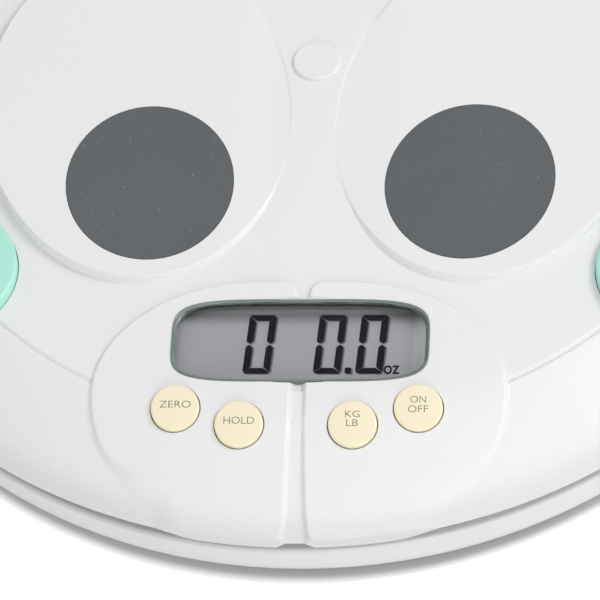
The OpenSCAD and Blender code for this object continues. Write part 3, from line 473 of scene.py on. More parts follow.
def inside_lobe(x, y):
    """The distance to a lobe's outline, positive inside. Points well away from it get FAR_OUTSIDE."""
    x, y = np.abs(np.ravel(x)), np.ravel(y)
    out = np.full(x.shape, FAR_OUTSIDE)
    near = (y < LOBE_BACK) & (x < LOBE_SIDE)
    p = np.stack([x[near], y[near]], -1)
    a, b = LOBE[None], np.roll(LOBE, -1, 0)[None]
    share = np.clip(((p[:, None] - a) * (b - a)).sum(-1) / ((b - a) ** 2).sum(-1), 0, 1)
    away = np.sqrt((((a + share[..., None] * (b - a)) - p[:, None]) ** 2).sum(-1)).min(1)
    out[near] = np.where(inside_ring(p, LOBE), away, -away)
    return out


# %% [markdown]
# Each small form has its own function of x and y, in millimetres. Soft steps let it begin and end smoothly, as
# in a mould, so that no edge looks cut.

# %% Height of the cover's top
CREASE_DEPTH, CREASE_WIDTH, LEDGE_DEPTH, NOTCH_DEPTH = 0.9, 0.55, 0.2, 0.7
LOBE_STEP, DISH_STEP, DISH_DIP = 1.5, 1.15, 0.8


def soft_step(t):
    t = np.clip(t, 0, 1)
    return t * t * (3 - 2 * t)


def crease_depth(r, x, y):
    """The fine crease fades out in the groove between the lobes."""
    shown = np.maximum(soft_step((np.abs(x) - 10) / 6), soft_step(y / 5))
    return CREASE_DEPTH * np.exp(-(((r - CREASE_R) / CREASE_WIDTH) ** 2)) * shown


def groove_ledge(x, y):
    """A small step down in the groove, towards the rim."""
    in_front, beside, before_rim = (-y - 149.7) / 0.5, (3.6 - np.abs(x)) / 0.4, (y + 168.5) / 3
    return LEDGE_DEPTH * soft_step(in_front) * soft_step(beside) * soft_step(before_rim)


def lobe_share(x, y):
    """0 outside the lobes and 1 on them. The step is wider at the outer front corners, where they run out."""
    wider = 7.5 * soft_step((-y - 140) / 24) * soft_step((np.abs(x) - 24) / 14)
    return soft_step((inside_lobe(x, y).reshape(np.shape(x)) + 0.35) / (LOBE_STEP + wider))


def notch_depth(x, y):
    """The short slot in the groove, level with the buttons."""
    beside, behind, in_front = (1.75 - np.abs(x)) / 0.3, (y + 126.2) / 0.25, (-y - 121) / 0.5
    return NOTCH_DEPTH * (soft_step(beside) * soft_step(behind) * soft_step(in_front))


def cover_top(x, y):
    r = np.hypot(x, y)
    z = plain_cover(0, r) - crease_depth(r, x, y) - groove_ledge(x, y)
    z = z + (lobe_top(r) - z) * lobe_share(x, y)
    z = z - notch_depth(x, y)
    dish = soft_step((inside_ellipse(DISH, np.abs(x), y) - 0.45) / DISH_STEP)
    dish_z = DISH_Z - DISH_DIP * soft_step((27 - np.abs(x)) / 16)
    return z + (dish_z - z) * dish


print("top at the middle", float(cover_top(np.array([0.0]), np.array([0.0]))[0]))

# %% [markdown]
# ## Holes and pockets
# Round holes for the buttons, the two large tray releases, the middle cap and the display window all go through
# the cover. Each is a stack of rings: a small rounding at the top, a straight wall, and a last ring on the
# underside. The pads sit in shallow pockets, whose last ring closes on a flat floor.


# %% Rings for holes
def circle(radius, n=96):
    t = np.linspace(0, 2 * np.pi, n, endpoint=False)
    return lambda grow: np.stack([(radius + grow) * np.cos(t), (radius + grow) * np.sin(t)], -1)


def bulged(width, height, n=220, power=4.6):
    t = np.linspace(0, 2 * np.pi, n, endpoint=False)
    c, s = np.cos(t), np.sin(t)
    return lambda grow: np.stack([
        (width / 2 + grow) * np.sign(c) * np.abs(c) ** (2 / power),
        (height / 2 + grow) * np.sign(s) * np.abs(s) ** (2 / power)], -1)


def cover_under(x, y):
    return plain_cover(-WALL, np.hypot(x, y))


def ring_on(surface, put, flat):
    """Slides a flat ring along its own axis until it lies on the surface."""
    w = np.zeros(len(flat))
    for _ in range(12):
        p = put(np.column_stack([flat, w]))
        w = w + (surface(p[:, 0], p[:, 1]) - p[:, 2])
    return w


def hole(shape, put, steps):
    """Rings for steps of (grow, how, value): top and drop lie on and below the top, level at a height."""
    rings = []
    for grow, how, value in steps:
        flat = shape(grow)
        if how == "under":
            w = ring_on(cover_under, put, flat)
        elif how == "level":
            w = np.full(len(flat), value)
        else:
            w = ring_on(cover_top, put, flat) - value
        rings.append(put(np.column_stack([flat, w])))
    return rings


# %% [markdown]
# The buttons share one tilt towards the user. Each has its own seat on the lobe. The display lies flatter.

# %% Places of the buttons and the display
def lobe_height(r):
    return float(lobe_top(np.array([r]))[0])


KEYS = {"zero": (-37.3, -132.4), "hold": (-17.4, -138.1), "unit": (17.4, -138.1), "power": (37.3, -132.4)}
KEY_TILT, KEY_R = 15, 7.5
key_place = {
    name: tilted((x, y, lobe_height(math.hypot(x, y))), KEY_TILT) for name, (x, y) in KEYS.items()
}
LENS_Y, LENS_W, LENS_H, LENS_TILT, LENS_BOTTOM = 108.4, 79.6, 29.6, 3, -2
display_place = tilted((0, -LENS_Y, lobe_height(LENS_Y)), LENS_TILT)
TRAY_R, TRAY_INSET, TRAY_ANGLE = 23.1, 30, math.radians(35.4)
TRAY = ((EDGE_R - TRAY_INSET) * math.cos(TRAY_ANGLE), -(EDGE_R - TRAY_INSET) * math.sin(TRAY_ANGLE))
tray_place = {side: tilted((side * TRAY[0], TRAY[1], 0), 0) for side in (-1, 1)}
straight = tilted((0, 0, 0), 0)
print("tray releases at", [round(c, 1) for c in TRAY], "mm")

# %% [markdown]
# Each opening now gets its rings: the steps say how far each ring lies outside the wall, and how deep.


# %% Holes and pockets
KEY_GAP, TRAY_GAP, CAP_HOLE_R, LENS_SEAT, PAD_DEPTH = 0.3, 0.2, 4.15, -2.6, 0.9
KEY_STEPS = [(0.35, "top", 0), (0.1, "drop", 0.08), (0, "drop", 0.35), (0, "under", 0)]
TRAY_STEPS = [(0.25, "top", 0), (0.08, "drop", 0.06), (0, "drop", 0.3), (0, "under", 0)]
CAP_STEPS = [(0, "top", 0), (0, "under", 0)]
LENS_STEPS = [(0.4, "top", 0), (0.22, "drop", 0.06), (0.12, "drop", 0.3), (0.12, "level", LENS_SEAT)]
LENS_STEPS += [(-0.2, "level", LENS_SEAT), (-0.2, "under", 0)]
PAD_STEPS = [(0.35, "top", 0), (0.18, "drop", 0.05), (0.12, "drop", 0.25), (0.12, "level", DISH_Z - PAD_DEPTH)]

holes = {name: hole(circle(KEY_R + KEY_GAP), put, KEY_STEPS) for name, put in key_place.items()}
for side in (-1, 1):
    holes[f"tray{side}"] = hole(circle(TRAY_R + TRAY_GAP, 160), tray_place[side], TRAY_STEPS)
holes["cap"] = hole(circle(CAP_HOLE_R, 48), straight, CAP_STEPS)
holes["window"] = hole(bulged(LENS_W, LENS_H), display_place, LENS_STEPS)
pockets = {}
for side in (-1, 1):
    pockets[f"pad{side}"] = hole(lambda grow, side=side: ellipse(PAD, grow) * (side, 1), straight, PAD_STEPS)
print("holes:", sorted(holes), "pockets:", sorted(pockets))

# %% [markdown]
# ## Laying out the points
# A plain grid would give jagged edges at the steps. So the points follow the features: rings along the crease,
# and rows of points beside the edges of the dishes and the lobes, close together where the surface bends. The
# rest is filled with rings round the middle, and a Delaunay mesh joins them, with the hole edges held.


# %% Points that follow the features
# Distances of the rows from the crease and the dish's edge, positive outside, and into the lobe's outline.
CREASE_ROWS = (-1.7, -1.1, -0.8, -0.55, -0.35, -0.15, 0.0, 0.15, 0.35, 0.55, 0.8, 1.1, 1.7)
DISH_ROWS = (0.9, 0.1, -0.25, -0.45, -0.6, -0.75, -0.9, -1.03, -1.15, -1.3, -1.45, -1.6, -1.8, -2.2, -3.2)
LOBE_ROWS = (-1.4, -0.7, -0.35, -0.15, 0.05, 0.25, 0.45, 0.65, 0.85, 1.05, 1.25, 1.6, 2.4)
CREASE_COUNT, DISH_COUNT = 600, 230


def ring_points(r, count):
    t = np.arange(count) * 2 * np.pi / count
    return np.stack([r * np.cos(t), r * np.sin(t)], -1)


def spaced_ring(r, spacing):
    return ring_points(r, max(int(2 * np.pi * r / spacing), 1))


def grid(across, y_range, count):
    return np.stack(np.meshgrid(across, np.linspace(*y_range, count)), -1).reshape(-1, 2)


def lobe_row(inward):
    """The lobe's outline moved inwards, by its own normals."""
    ahead = np.roll(LOBE, -1, 0) - np.roll(LOBE, 1, 0)
    normal = np.stack([ahead[:, 1], -ahead[:, 0]], -1) / np.hypot(*ahead.T)[:, None]
    return LOBE + normal * inward


def feature_points():
    rows = [ring_points(CREASE_R + off, CREASE_COUNT) for off in CREASE_ROWS]
    for grow in DISH_ROWS:
        rows += [ellipse(DISH, grow, DISH_COUNT) * (side, 1) for side in (-1, 1)]
    across = np.linspace(-2.1, 2.1, 29)
    rows += [grid(across, (-126.6, -123.4), 22), grid(across * 1.2, (-150.6, -149.3), 9)]
    for inward in LOBE_ROWS:
        rows += [lobe_row(inward) * (side, 1) for side in (-1, 1)]
    return np.concatenate(rows)


def filling_points(spacing):
    """Rings round the middle, less the points that would crowd the rows beside crease, dishes and lobes."""
    radii = np.arange(spacing, EDGE_R - 0.8, spacing)
    p = np.concatenate([[[0.0, 0.0]]] + [spaced_ring(r, spacing) for r in radii])
    off_crease = np.abs(np.hypot(*p.T) - CREASE_R) > 2.2
    off_dish = np.abs(inside_ellipse(DISH, np.abs(p[:, 0]), p[:, 1])) > 3
    return p[off_crease & off_dish & (np.abs(inside_lobe(p[:, 0], p[:, 1])) > 2.6)]


def clear_of(p, ring, gap):
    """True for points outside a ring and at least gap away from it."""
    out = np.ones(len(p), bool)
    low, high = ring[:, :2].min(0) - gap, ring[:, :2].max(0) + gap
    near = np.where(((p > low) & (p < high)).all(1))[0]
    q = p[near]
    away = np.sqrt(((q[:, None] - ring[None, :, :2]) ** 2).sum(-1)).min(1)
    out[near] = ~inside_ring(q, ring) & (away > gap)
    return out


# %% [markdown]
# A constrained Delaunay mesh joins the points. The rings of the edge and of the holes are given as fixed edges,
# so the walls built later meet the sheet point by point. Triangles inside the holes are dropped.

# %% Joining the points into a sheet with holes
def sheet(free, rings, edge):
    """Triangles over free points, inside the edge and outside each hole. The rings keep their points."""
    limit = np.hypot(*edge[:, :2].T).min()
    free = free[np.hypot(*free.T) < limit - 0.25]
    for ring in rings:
        free = free[clear_of(free, ring, 0.3)]
    bounds = [edge] + rings
    points = [Vector(p) for p in np.concatenate([b[:, :2] for b in bounds] + [free])]
    edges, start = [], 0
    for b in bounds:
        edges += [(start + k, start + (k + 1) % len(b)) for k in range(len(b))]
        start += len(b)
    made, _, faces, origin, _, _ = geometry.delaunay_2d_cdt(points, edges, [], 0, 1e-5)
    number = {source: k for k, sources in enumerate(origin) for source in sources}
    made = np.array([tuple(p) for p in made])
    faces = np.array([tuple(f) for f in faces])
    middle = made[faces].mean(1)
    good = np.hypot(*middle.T) < limit + 0.2
    for ring in rings:
        good &= ~inside_ring(middle, ring)
    spots, start = [], 0
    for b in bounds:
        spots.append([number[start + k] for k in range(len(b))])
        start += len(b)
    return made, faces[good], spots


# %% [markdown]
# The rim is a stack of rings too: a small rounding, the lip, the flat lower edge and the inner wall. Inside the
# lobes the lip hangs lower, as on the photograph, where it closes the gap above the base.

# %% The rim's rings
RIM_N = 720
turn = np.arange(RIM_N) * 2 * np.pi / RIM_N
round_xy = np.stack([np.cos(turn), np.sin(turn)], -1)
in_lobe = soft_step((inside_lobe(*(round_xy * (EDGE_R - 1.3)).T) + 0.3) / 2.4)
lobe_at_rim = in_lobe * soft_step((45.5 - np.abs(round_xy[:, 0] * (EDGE_R - 0.5))) / 15)
inner_r = SKIRT_C[0] + math.sqrt((SKIRT_R - WALL) ** 2 - (EDGE_Z - SKIRT_C[1]) ** 2)
LIP_DROP, SHEET_R = 2.4, EDGE_R - 0.4
lip_z = EDGE_Z - LIP_DROP * lobe_at_rim


def rim_ring(radius, height):
    return np.column_stack([round_xy * radius, np.broadcast_to(height, RIM_N)])


rim_top = cover_top(*(round_xy * SHEET_R).T)
rim = [
    rim_ring(SHEET_R, rim_top),
    rim_ring(EDGE_R - 0.12, np.maximum(rim_top - 0.16, lip_z + 0.12)),
    rim_ring(EDGE_R, np.maximum(rim_top - 0.5, lip_z + 0.06)),
    rim_ring(EDGE_R - 0.04, lip_z + 0.02),
    rim_ring(EDGE_R - 2.3, lip_z),
    rim_ring(inner_r, EDGE_Z),
]
print("rim from", round(float(rim_top.min()), 2), "to", round(float(rim_top.max()), 2), "mm high")

# %% [markdown]
# ## The cover
# Top sheet, underside sheet, and walls between their rings make one closed shell. The underside is hardly seen,
# so its points lie further apart.


# %% Build the cover
TOP_SPACING, UNDER_SPACING, UNDER_END = 3.4, 9, 165


def build_cover():
    top_rings = [r[0] for r in holes.values()] + [r[0] for r in pockets.values()]
    under_rings = [r[-1] for r in holes.values()]
    free = np.concatenate([feature_points(), filling_points(TOP_SPACING)])
    top_xy, top_faces, top_spots = sheet(free, top_rings, rim[0])
    radii = np.arange(UNDER_SPACING, UNDER_END, UNDER_SPACING)
    coarse = np.concatenate([spaced_ring(r, UNDER_SPACING) for r in radii])
    under_xy, under_faces, under_spots = sheet(coarse, under_rings, rim[-1])
    sheets = ((top_xy, cover_top), (under_xy, cover_under))
    points = [np.column_stack([xy, height(*xy.T)]) for xy, height in sheets]
    base = len(top_xy)
    faces = [tuple(f) for f in top_faces] + [tuple(base + i for i in reversed(f)) for f in under_faces]
    total = base + len(under_xy)

    def wall(first, between, last):
        nonlocal total
        rows = [first]
        for ring in between:
            points.append(ring)
            rows.append(list(range(total, total + len(ring))))
            total += len(ring)
        if last is None:
            faces.append(tuple(rows[-1]))
        else:
            rows.append([base + k for k in last])
        for a, b in zip(rows, rows[1:]):
            faces.extend(bridge(a, b))

    wall(top_spots[0], rim[1:-1], under_spots[0])
    for k, rings in enumerate(holes.values()):
        wall(top_spots[1 + k], rings[1:-1], under_spots[1 + k])
    for k, rings in enumerate(pockets.values()):
        wall(top_spots[1 + len(holes) + k], rings[1:], None)
    return np.concatenate(points), faces, base, len(top_faces)


cover_points, cover_faces, top_count, top_face_count = build_cover()
cover_mesh = mesh_from("cover_shell", cover_points, cover_faces)
print("cover:", len(cover_points), "points")

# %% [markdown]
# Triangles of different sizes would show in the gloss. So the top's normals are set from the height function
# itself, by its slope in x and y, and the shine runs smoothly over them.


# %% Smooth normals from the height function
def top_normals(p, h=0.03):
    x, y = p[:, 0], p[:, 1]
    dx = (cover_top(x + h, y) - cover_top(x - h, y)) / (2 * h)
    dy = (cover_top(x, y + h) - cover_top(x, y - h)) / (2 * h)
    n = np.column_stack([-dx, -dy, np.ones(len(x))])
    return n / np.linalg.norm(n, axis=1)[:, None]


def set_normals(mesh):
    exact = top_normals(cover_points[:top_count])
    normals = np.zeros(len(mesh.loops) * 3, np.float32)
    mesh.corner_normals.foreach_get("vector", normals)
    normals = normals.reshape(-1, 3)
    corners = np.zeros(len(mesh.loops), np.int32)
    mesh.loops.foreach_get("vertex_index", corners)
    on_top = np.zeros(len(mesh.loops), bool)
    for face in mesh.polygons[:top_face_count]:
        on_top[face.loop_start:face.loop_start + face.loop_total] = True
    normals[on_top] = exact[corners[on_top]]
    mesh.normals_split_custom_set(normals.tolist())


set_normals(cover_mesh)
keep("cover_shell", cover_mesh, "scale_body", "white_plastic", "top_cover")

# %% [markdown]
# ## Turned pieces
# Buttons and caps are round, so each is a profile turned about its own axis. The profile runs from the lower
# end of the axis to the upper end, and the small radii at the edges are what catch the light.


# %% A helper that turns a profile
def turned(profile, put, n=96):
    """Rings round the axis for each (radius, height), with single points where the radius is zero."""
    t = np.linspace(0, 2 * np.pi, n, endpoint=False)
    points, rows, faces = [], [], []
    for radius, height in profile:
        count = 1 if radius == 0 else n
        ring = np.stack([radius * np.cos(t), radius * np.sin(t), np.full(n, height)], -1)[:count]
        rows.append(list(range(len(points), len(points) + count)))
        points += [tuple(p) for p in put(ring)]
    for a, b in zip(rows, rows[1:]):
        if len(a) == 1:
            faces += [(a[0], b[k], b[(k + 1) % n]) for k in range(n)]
        elif len(b) == 1:
            faces += [(a[(k + 1) % n], a[k], b[0]) for k in range(n)]
        else:
            faces += bridge(a, b)
    return points, faces


def arc_profile(cx, cz, radius, first, last, n=6):
    angles = [math.radians(a) for a in np.linspace(first, last, n)]
    return [(cx + radius * math.cos(a), cz + radius * math.sin(a)) for a in angles]


# %% [markdown]
# Posts stand under the cover, in the same moulding: eight bosses for the housing screws, short posts for the
# two boards' screws, and a collar round each tray release. Each post is a turned profile with a blind hole.
# The bosses end inside the sloping skirt, and the collars hide the dark gap under the green buttons.

# %% Posts and collars under the cover
def post(radius, bore, low, depth, high):
    """A profile with a blind hole of the given depth, open at the low end."""
    inside = [(0, low + depth), (bore, low + depth), (bore, low + 0.2), (bore + 0.2, low)]
    return inside + [(radius - 0.3, low), (radius, low + 0.3), (radius, high), (0, high)]


def stack(rings, closed=False):
    """Bridges rings of equal length. Open stacks are capped at both ends, closed ones join to the first."""
    n = len(rings[0])
    rows = [list(range(k * n, (k + 1) * n)) for k in range(len(rings))]
    faces = [] if closed else [tuple(rows[0]), tuple(rows[-1])]
    for a, b in zip(rows, rows[1:] + (rows[:1] if closed else [])):
        faces += bridge(a, b)
    return [tuple(p) for ring in rings for p in ring], faces


def joined(pieces):
    """Several (points, faces) as one."""
    points, faces = [], []
    for more, cells in pieces:
        faces += [tuple(len(points) + k for k in cell) for cell in cells]
        points += more
    return points, faces


BOSS_R, BOSS_CIRCLE_R, BOSS_ANGLES, BOSS_BORE, BOSS_LOW, INTO_COVER = 4.2, 147, (-60, -10, 30, 70), 1.5, 16, 0.8
BOARD_POSTS = ((-46, -10.75), (46, -10.75), (-46, 18.25), (46, 18.25))
KEY_POSTS, KEY_ROW_Y = (-48.6, 0, 48.6), 135.25
COLLAR_IN, COLLAR_OUT, COLLAR_LOW, COLLAR_N = 24.4, 26.4, 24, 144


def boss(side, angle):
    x, y = side * BOSS_CIRCLE_R * math.cos(angle), BOSS_CIRCLE_R * math.sin(angle)
    points, faces = turned(post(BOSS_R, BOSS_BORE, BOSS_LOW, 10, EDGE_Z), tilted((x, y, 0), 0), 32)
    return [(a, b, float(cover_under(a, b)) + INTO_COVER if c == EDGE_Z else c) for a, b, c in points], faces


def collar(side):
    inner, outer = (circle(r, COLLAR_N)(0) + (side * TRAY[0], TRAY[1]) for r in (COLLAR_IN, COLLAR_OUT))
    low = np.full(COLLAR_N, COLLAR_LOW)
    top_in, top_out = (np.maximum(cover_under(*flat.T) + 1, 29) for flat in (inner, outer))
    rings = [(outer, low), (outer, top_out), (inner, top_in), (inner, low)]
    return stack([np.column_stack([flat, z]) for flat, z in rings], closed=True)


made = [boss(side, math.radians(angle)) for angle in BOSS_ANGLES for side in (-1, 1)]
for x, y in BOARD_POSTS:
    made.append(turned(post(3, 1, -11, 5, -3), lambda local, x=x, y=y: display_place(local + (x, y, 0)), 32))
key_row = tilted((0, -KEY_ROW_Y, lobe_height(KEY_ROW_Y)), KEY_TILT)
for x in KEY_POSTS:
    made.append(turned(post(2, 1, -15, 5, -3), lambda local, x=x: key_row(local + (x, 0, 0)), 32))
made += [collar(side) for side in (-1, 1)]
keep("cover_posts", mesh_from("cover_posts", *joined(made)), "scale_body", "white_plastic")

# %% [markdown]
# The four control buttons are cream caps, slightly crowned. Under the cover a bar keeps each in place and a
# stem reaches down to the rubber mat. Their printed words are generic: ZERO, HOLD, KG over LB, ON over OFF.

# %% Control buttons
KEY_RISE, KEY_BOTTOM, STEM_BOTTOM = 1.3, -5.6, -11.4


def cap_height(r):
    return KEY_RISE - 0.28 * (r / 7) ** 2


def button_profile():
    crown = [(r, cap_height(r)) for r in (6.9, 6.2, 5, 3.5, 2, 1)] + [(0, KEY_RISE)]
    edge = arc_profile(KEY_R - 0.6, cap_height(6.9) - 0.6, 0.6, 0, 80)
    stem = [(0, STEM_BOTTOM), (2.7, STEM_BOTTOM), (3, STEM_BOTTOM + 0.3), (3, KEY_BOTTOM)]
    return stem + [(KEY_R - 0.3, KEY_BOTTOM), (KEY_R, KEY_BOTTOM + 0.3)] + edge + crown


def bar_points(put):
    """The bar under a button: a plate with cut corners, wider than the hole."""
    x, y, low, high = 8.8, 4.0, KEY_BOTTOM, KEY_BOTTOM + 0.9
    near_x, near_y = x - 0.9, y - 1
    flat = [(-x, -near_y), (-near_x, -y), (near_x, -y), (x, -near_y)]
    flat += [(x, near_y), (near_x, y), (-near_x, y), (-x, near_y)]
    points = [tuple(p) for p in put([(a, b, h) for h in (low, high) for a, b in flat])]
    n = len(flat)
    return points, [tuple(range(n)), tuple(range(n, 2 * n))] + bridge(list(range(n)), list(range(n, 2 * n)))


for name, put in key_place.items():
    mesh = mesh_from(f"{name}_cap", *joined([turned(button_profile(), put), bar_points(put)]))
    keep(f"{name}_cap", mesh, f"{name}_key", "cream_plastic", f"{name}_button")

# %% [markdown]
# The two large green buttons release the weighing tray. Each is a drum with a flat, slightly crowned top and a
# straight side that stands high above the sloping skirt.

# %% Tray release buttons
TRAY_TOP, TRAY_CROWN, TRAY_EDGE = 49.0, 0.8, 1.2
SIDES = {-1: "left", 1: "right"}
crown_r = (TRAY_R**2 + TRAY_CROWN**2) / (2 * TRAY_CROWN)
CROWN_RADII = (21.9, 20.5, 18, 14, 10, 6, 3)
crown = [(r, TRAY_TOP + TRAY_CROWN - crown_r + math.sqrt(crown_r**2 - r**2)) for r in CROWN_RADII]
drum = [(0, 12.6), (4, 12.6), (4, 46.6), (21.6, 46.6), (21.8, 46.4), (21.8, 30.2), (22, 30)]
drum += [(TRAY_R - 0.2, 30), (TRAY_R, 30.2)]
drum += arc_profile(TRAY_R - TRAY_EDGE, TRAY_TOP - 1.13, TRAY_EDGE, 0, 85, 8)
drum += crown + [(0, TRAY_TOP + TRAY_CROWN)]
for side, name in SIDES.items():
    drum_mesh = mesh_from(f"tray_release_cap_{name}", *turned(drum, tray_place[side], 144))
    keep(f"tray_release_cap_{name}", drum_mesh, f"tray_release_{name}", "mint_plastic", f"tray_button_{name}")

# %% [markdown]
# A round cap closes the middle of the cover. It is the same white as the cover and stands about a millimetre
# proud, with a soft edge.

# %% Middle cap
CAP_TOP, CAP_SAG = 50.5, 0.12
middle = [(0, 45.5), (3.7, 45.5), (4, 45.8), (4, 49.42), (7.7, 49.42), (7.7, 49.9)]
middle += arc_profile(7.1, 49.9, 0.6, 0, 80)
middle += [(r, CAP_TOP - CAP_SAG * (r / 7) ** 2) for r in (6.4, 5, 3.4, 1.8)] + [(0, CAP_TOP)]
cap_mesh = mesh_from("middle_cap", *turned(middle, straight, 64))
keep("middle_cap", cap_mesh, "scale_body", "white_plastic", "centre_cap")


# %% [markdown]
# ## Display
# The window is a slab of glass with polished edges, in a dark ring. Both follow the same bulged outline. The
# ring slopes down to the glass as a bevel, and has a small foot under it. On the photograph the ring is a dark
# green band along the window's back edge, and a thin grey line elsewhere. Below the glass's seat, towards the
# back, shade is painted into the ring's colour, so it is much darker there.


# %% Finish of the ring, with painted shade at the back
ring_finish, tree, shader, place = new_material("ring_shaded")
window_up = display_place((0, 0, 1)) - display_place((0, 0, 0))
seat = float(display_place((0, 0, LENS_BOTTOM)) @ window_up) * MM
tone = ramp(tree, noise(tree, place, 1200), (0.175, 0.208, 0.195), (0.185, 0.22, 0.205))
# Painted shade: below the seat, the ring's colour is darkened towards the back of the window.
back_shade = falloff(tree, place, "Y", -0.0960, -0.0990, 0.16)
shade_below_seat = falloff(tree, place, window_up, seat, seat + 0.2 * MM, back_shade)
tree.links.new(product(tree, tone, shade_below_seat), shader.inputs["Base Color"])
tree.links.new(ramp(tree, noise(tree, place, 900), grey(0.16), grey(0.26)), shader.inputs["Roughness"])


# %% Window and ring
# Each pair is how far a ring lies outside the window's outline, and its height, with 0 on the lobe.
GLASS = ((-0.72, -1.97), (-0.72, -0.56), (-0.28, -0.1), (-0.36, -0.04))
RING_OUTSIDE = ((0.1, LENS_SEAT), (0.1, -0.2), (0.02, -0.04), (-0.1, 0), (-0.2, -0.02))
RING_INSIDE = ((-0.7, -0.52), (-0.7, -1.99), (-1.05, -2.01), (-1.05, LENS_SEAT))


def lens_ring(grow, w):
    flat = bulged(LENS_W, LENS_H)(grow)
    return display_place(np.column_stack([flat, np.full(len(flat), w)]))


glass_mesh = mesh_from("window_glass", *stack([lens_ring(*pair) for pair in GLASS]))
keep("window_glass", glass_mesh, "scale_body", "clear_lens", "display_lens")
ring_rows = [lens_ring(*pair) for pair in RING_OUTSIDE + RING_INSIDE]
ring_mesh = mesh_from("window_ring", *stack(ring_rows, closed=True))
keep("window_ring", ring_mesh, "scale_body", "dark_gasket", "display_gasket", material=ring_finish)

# %% [markdown]
# The digits are drawn as on a real panel: each segment has its own outline, with mitred corners and pointed
# ends at mid height, and hair-thin gaps. A faint grey copy, shifted a little, is the shade that the segments
# cast on the reflector behind the liquid crystal.

# %% Segments of a zero
DIGIT_W, DIGIT_H, SEGMENT, SLANT, HAIR, CORNER_CUT = 8.4, 21.3, 2.1, 0.066, 0.13, 0.7
DIGIT_X, DIGIT_Y = (-13.0, 8.85, 21.9), 1.45


def zero_segments():
    """The six segments of a zero: top and two sides, and the same three upside down."""
    w, h, s, g = DIGIT_W / 2, DIGIT_H / 2, SEGMENT, HAIR
    cut = CORNER_CUT
    top = [(-w + cut + g, h), (w - cut - g, h), (w - g - 0.15, h - 0.45), (w - s - g, h - s + 0.1)]
    top += [(-w + s + g, h - s + 0.1), (-w + g + 0.15, h - 0.45)]
    side = [(w, h - cut - g), (w, s * 0.45 + g), (w - s / 2, g), (w - s, s * 0.5 + g)]
    side += [(w - s, h - s - g * 2), (w - 0.25, h - 0.45 - g)]
    parts = [top, side, [(-x, y) for x, y in side]]
    return parts + [[(x, -y) for x, y in part] for part in parts]


def slanted(part, x0, y0):
    return [(x0 + x + SLANT * y, y0 + y) for x, y in part]


shapes = [slanted(part, x0, DIGIT_Y) for x0 in DIGIT_X for part in zero_segments()]
decimal_point = [(13.85, -9.2), (15.75, -9.2), (15.75, -7.1), (13.85, -7.1)]
shapes.append(decimal_point)
print("segments:", len(shapes))


# %% Flat shapes as thin solids
INK_LOW, INK_HIGH = -5.16, -5.08


def slabs(flats, place_at, low, high):
    points, faces = [], []
    for flat in flats:
        n, start = len(flat), len(points)
        points += [tuple(p) for p in place_at([(x, y, w) for w in (low, high) for x, y in flat])]
        a, b = list(range(start, start + n)), list(range(start + n, start + 2 * n))
        faces += [tuple(a), tuple(b)] + bridge(a, b)
    return points, faces


ink_mesh = mesh_from("lcd_segments", *slabs(shapes, display_place, INK_LOW, INK_HIGH))
keep("lcd_segments", ink_mesh, "scale_body", "lcd_ink", "lcd_digits")

# %% [markdown]
# The shade is two thin, nearly clear copies of the segments, each shifted a little further and laid just under
# them. Where both overlap it is darker, so its edge looks soft.

# %% Shade behind the segments
SHADE_LOW, SHADE_STEP, SHADE_THICK = -5.19, 0.008, 0.005
shade, tree, shader, place = new_material("segment_shade")
tone = ramp(tree, noise(tree, place, 200), (0.05, 0.05, 0.055), (0.06, 0.06, 0.065))
tree.links.new(tone, shader.inputs["Base Color"])
tree.links.new(ramp(tree, noise(tree, place, 900), grey(0.5), grey(0.6)), shader.inputs["Roughness"])
shader.inputs["Alpha"].default_value = 0.2
for number, shift in enumerate((0.35, 0.7)):
    moved = [[(x + shift, y - shift * 0.6) for x, y in flat] for flat in shapes]
    low = SHADE_LOW + SHADE_STEP * number
    shade_mesh = mesh_from(f"segment_shade_{number + 1}", *slabs(moved, display_place, low, low + SHADE_THICK))
    keep(f"segment_shade_{number + 1}", shade_mesh, "scale_body", "lcd_ink", material=shade)


# %% [markdown]
# ## Printed words
# Blender's own font is a plain sans. Each word becomes a thin mesh, is centred, scaled to its height on the
# photograph, and laid on the crown of its button or on the panel.


# %% A helper for words
def word(text, height, squeeze, weight):
    """Flat points and faces of a word, centred, height millimetres tall."""
    curve = bpy.data.curves.new("word", "FONT")
    curve.body = text
    curve.resolution_u = 6
    curve.offset = weight
    carrier = bpy.data.objects.new("word", curve)
    flat = bpy.data.meshes.new_from_object(carrier)
    p = np.array([tuple(v.co)[:2] for v in flat.vertices])
    faces = [tuple(f.vertices) for f in flat.polygons]
    bpy.data.objects.remove(carrier)
    bpy.data.curves.remove(curve)
    bpy.data.meshes.remove(flat)
    middle_of = (p.min(0) + p.max(0)) / 2
    size = height / (p[:, 1].max() - p[:, 1].min())
    return (p - middle_of) * (size * squeeze, size), faces


def print_words(name, lines, put, surface, body, slot, thickness=0.03):
    """lines: (text, height, x, y, squeeze, weight). surface gives the height under each point."""
    points, faces = [], []
    for text, height, x0, y0, squeeze, weight in lines:
        flat, cells = word(text, height, squeeze, weight)
        flat = flat + (x0, y0)
        start, n = len(points), len(flat)
        w = surface(flat)
        for lift in (0.004, thickness):
            points += [tuple(p) for p in put(np.column_stack([flat, w + lift]))]
        edges = dict.fromkeys((a, b) for cell in cells for a, b in zip(cell, cell[1:] + cell[:1]))
        outer = [(a, b) for a, b in edges if (b, a) not in edges]
        faces += [tuple(start + n + k for k in cell) for cell in cells]
        faces += [tuple(start + k for k in reversed(cell)) for cell in cells]
        faces += [(start + a, start + b, start + n + b, start + n + a) for a, b in outer]
    ink = None if slot == "lcd_ink" else finish["legend_ink"]
    keep(name, mesh_from(name, points, faces, outward=False), body, slot, material=ink)


def on_cap(flat):
    return cap_height(np.hypot(*flat.T))


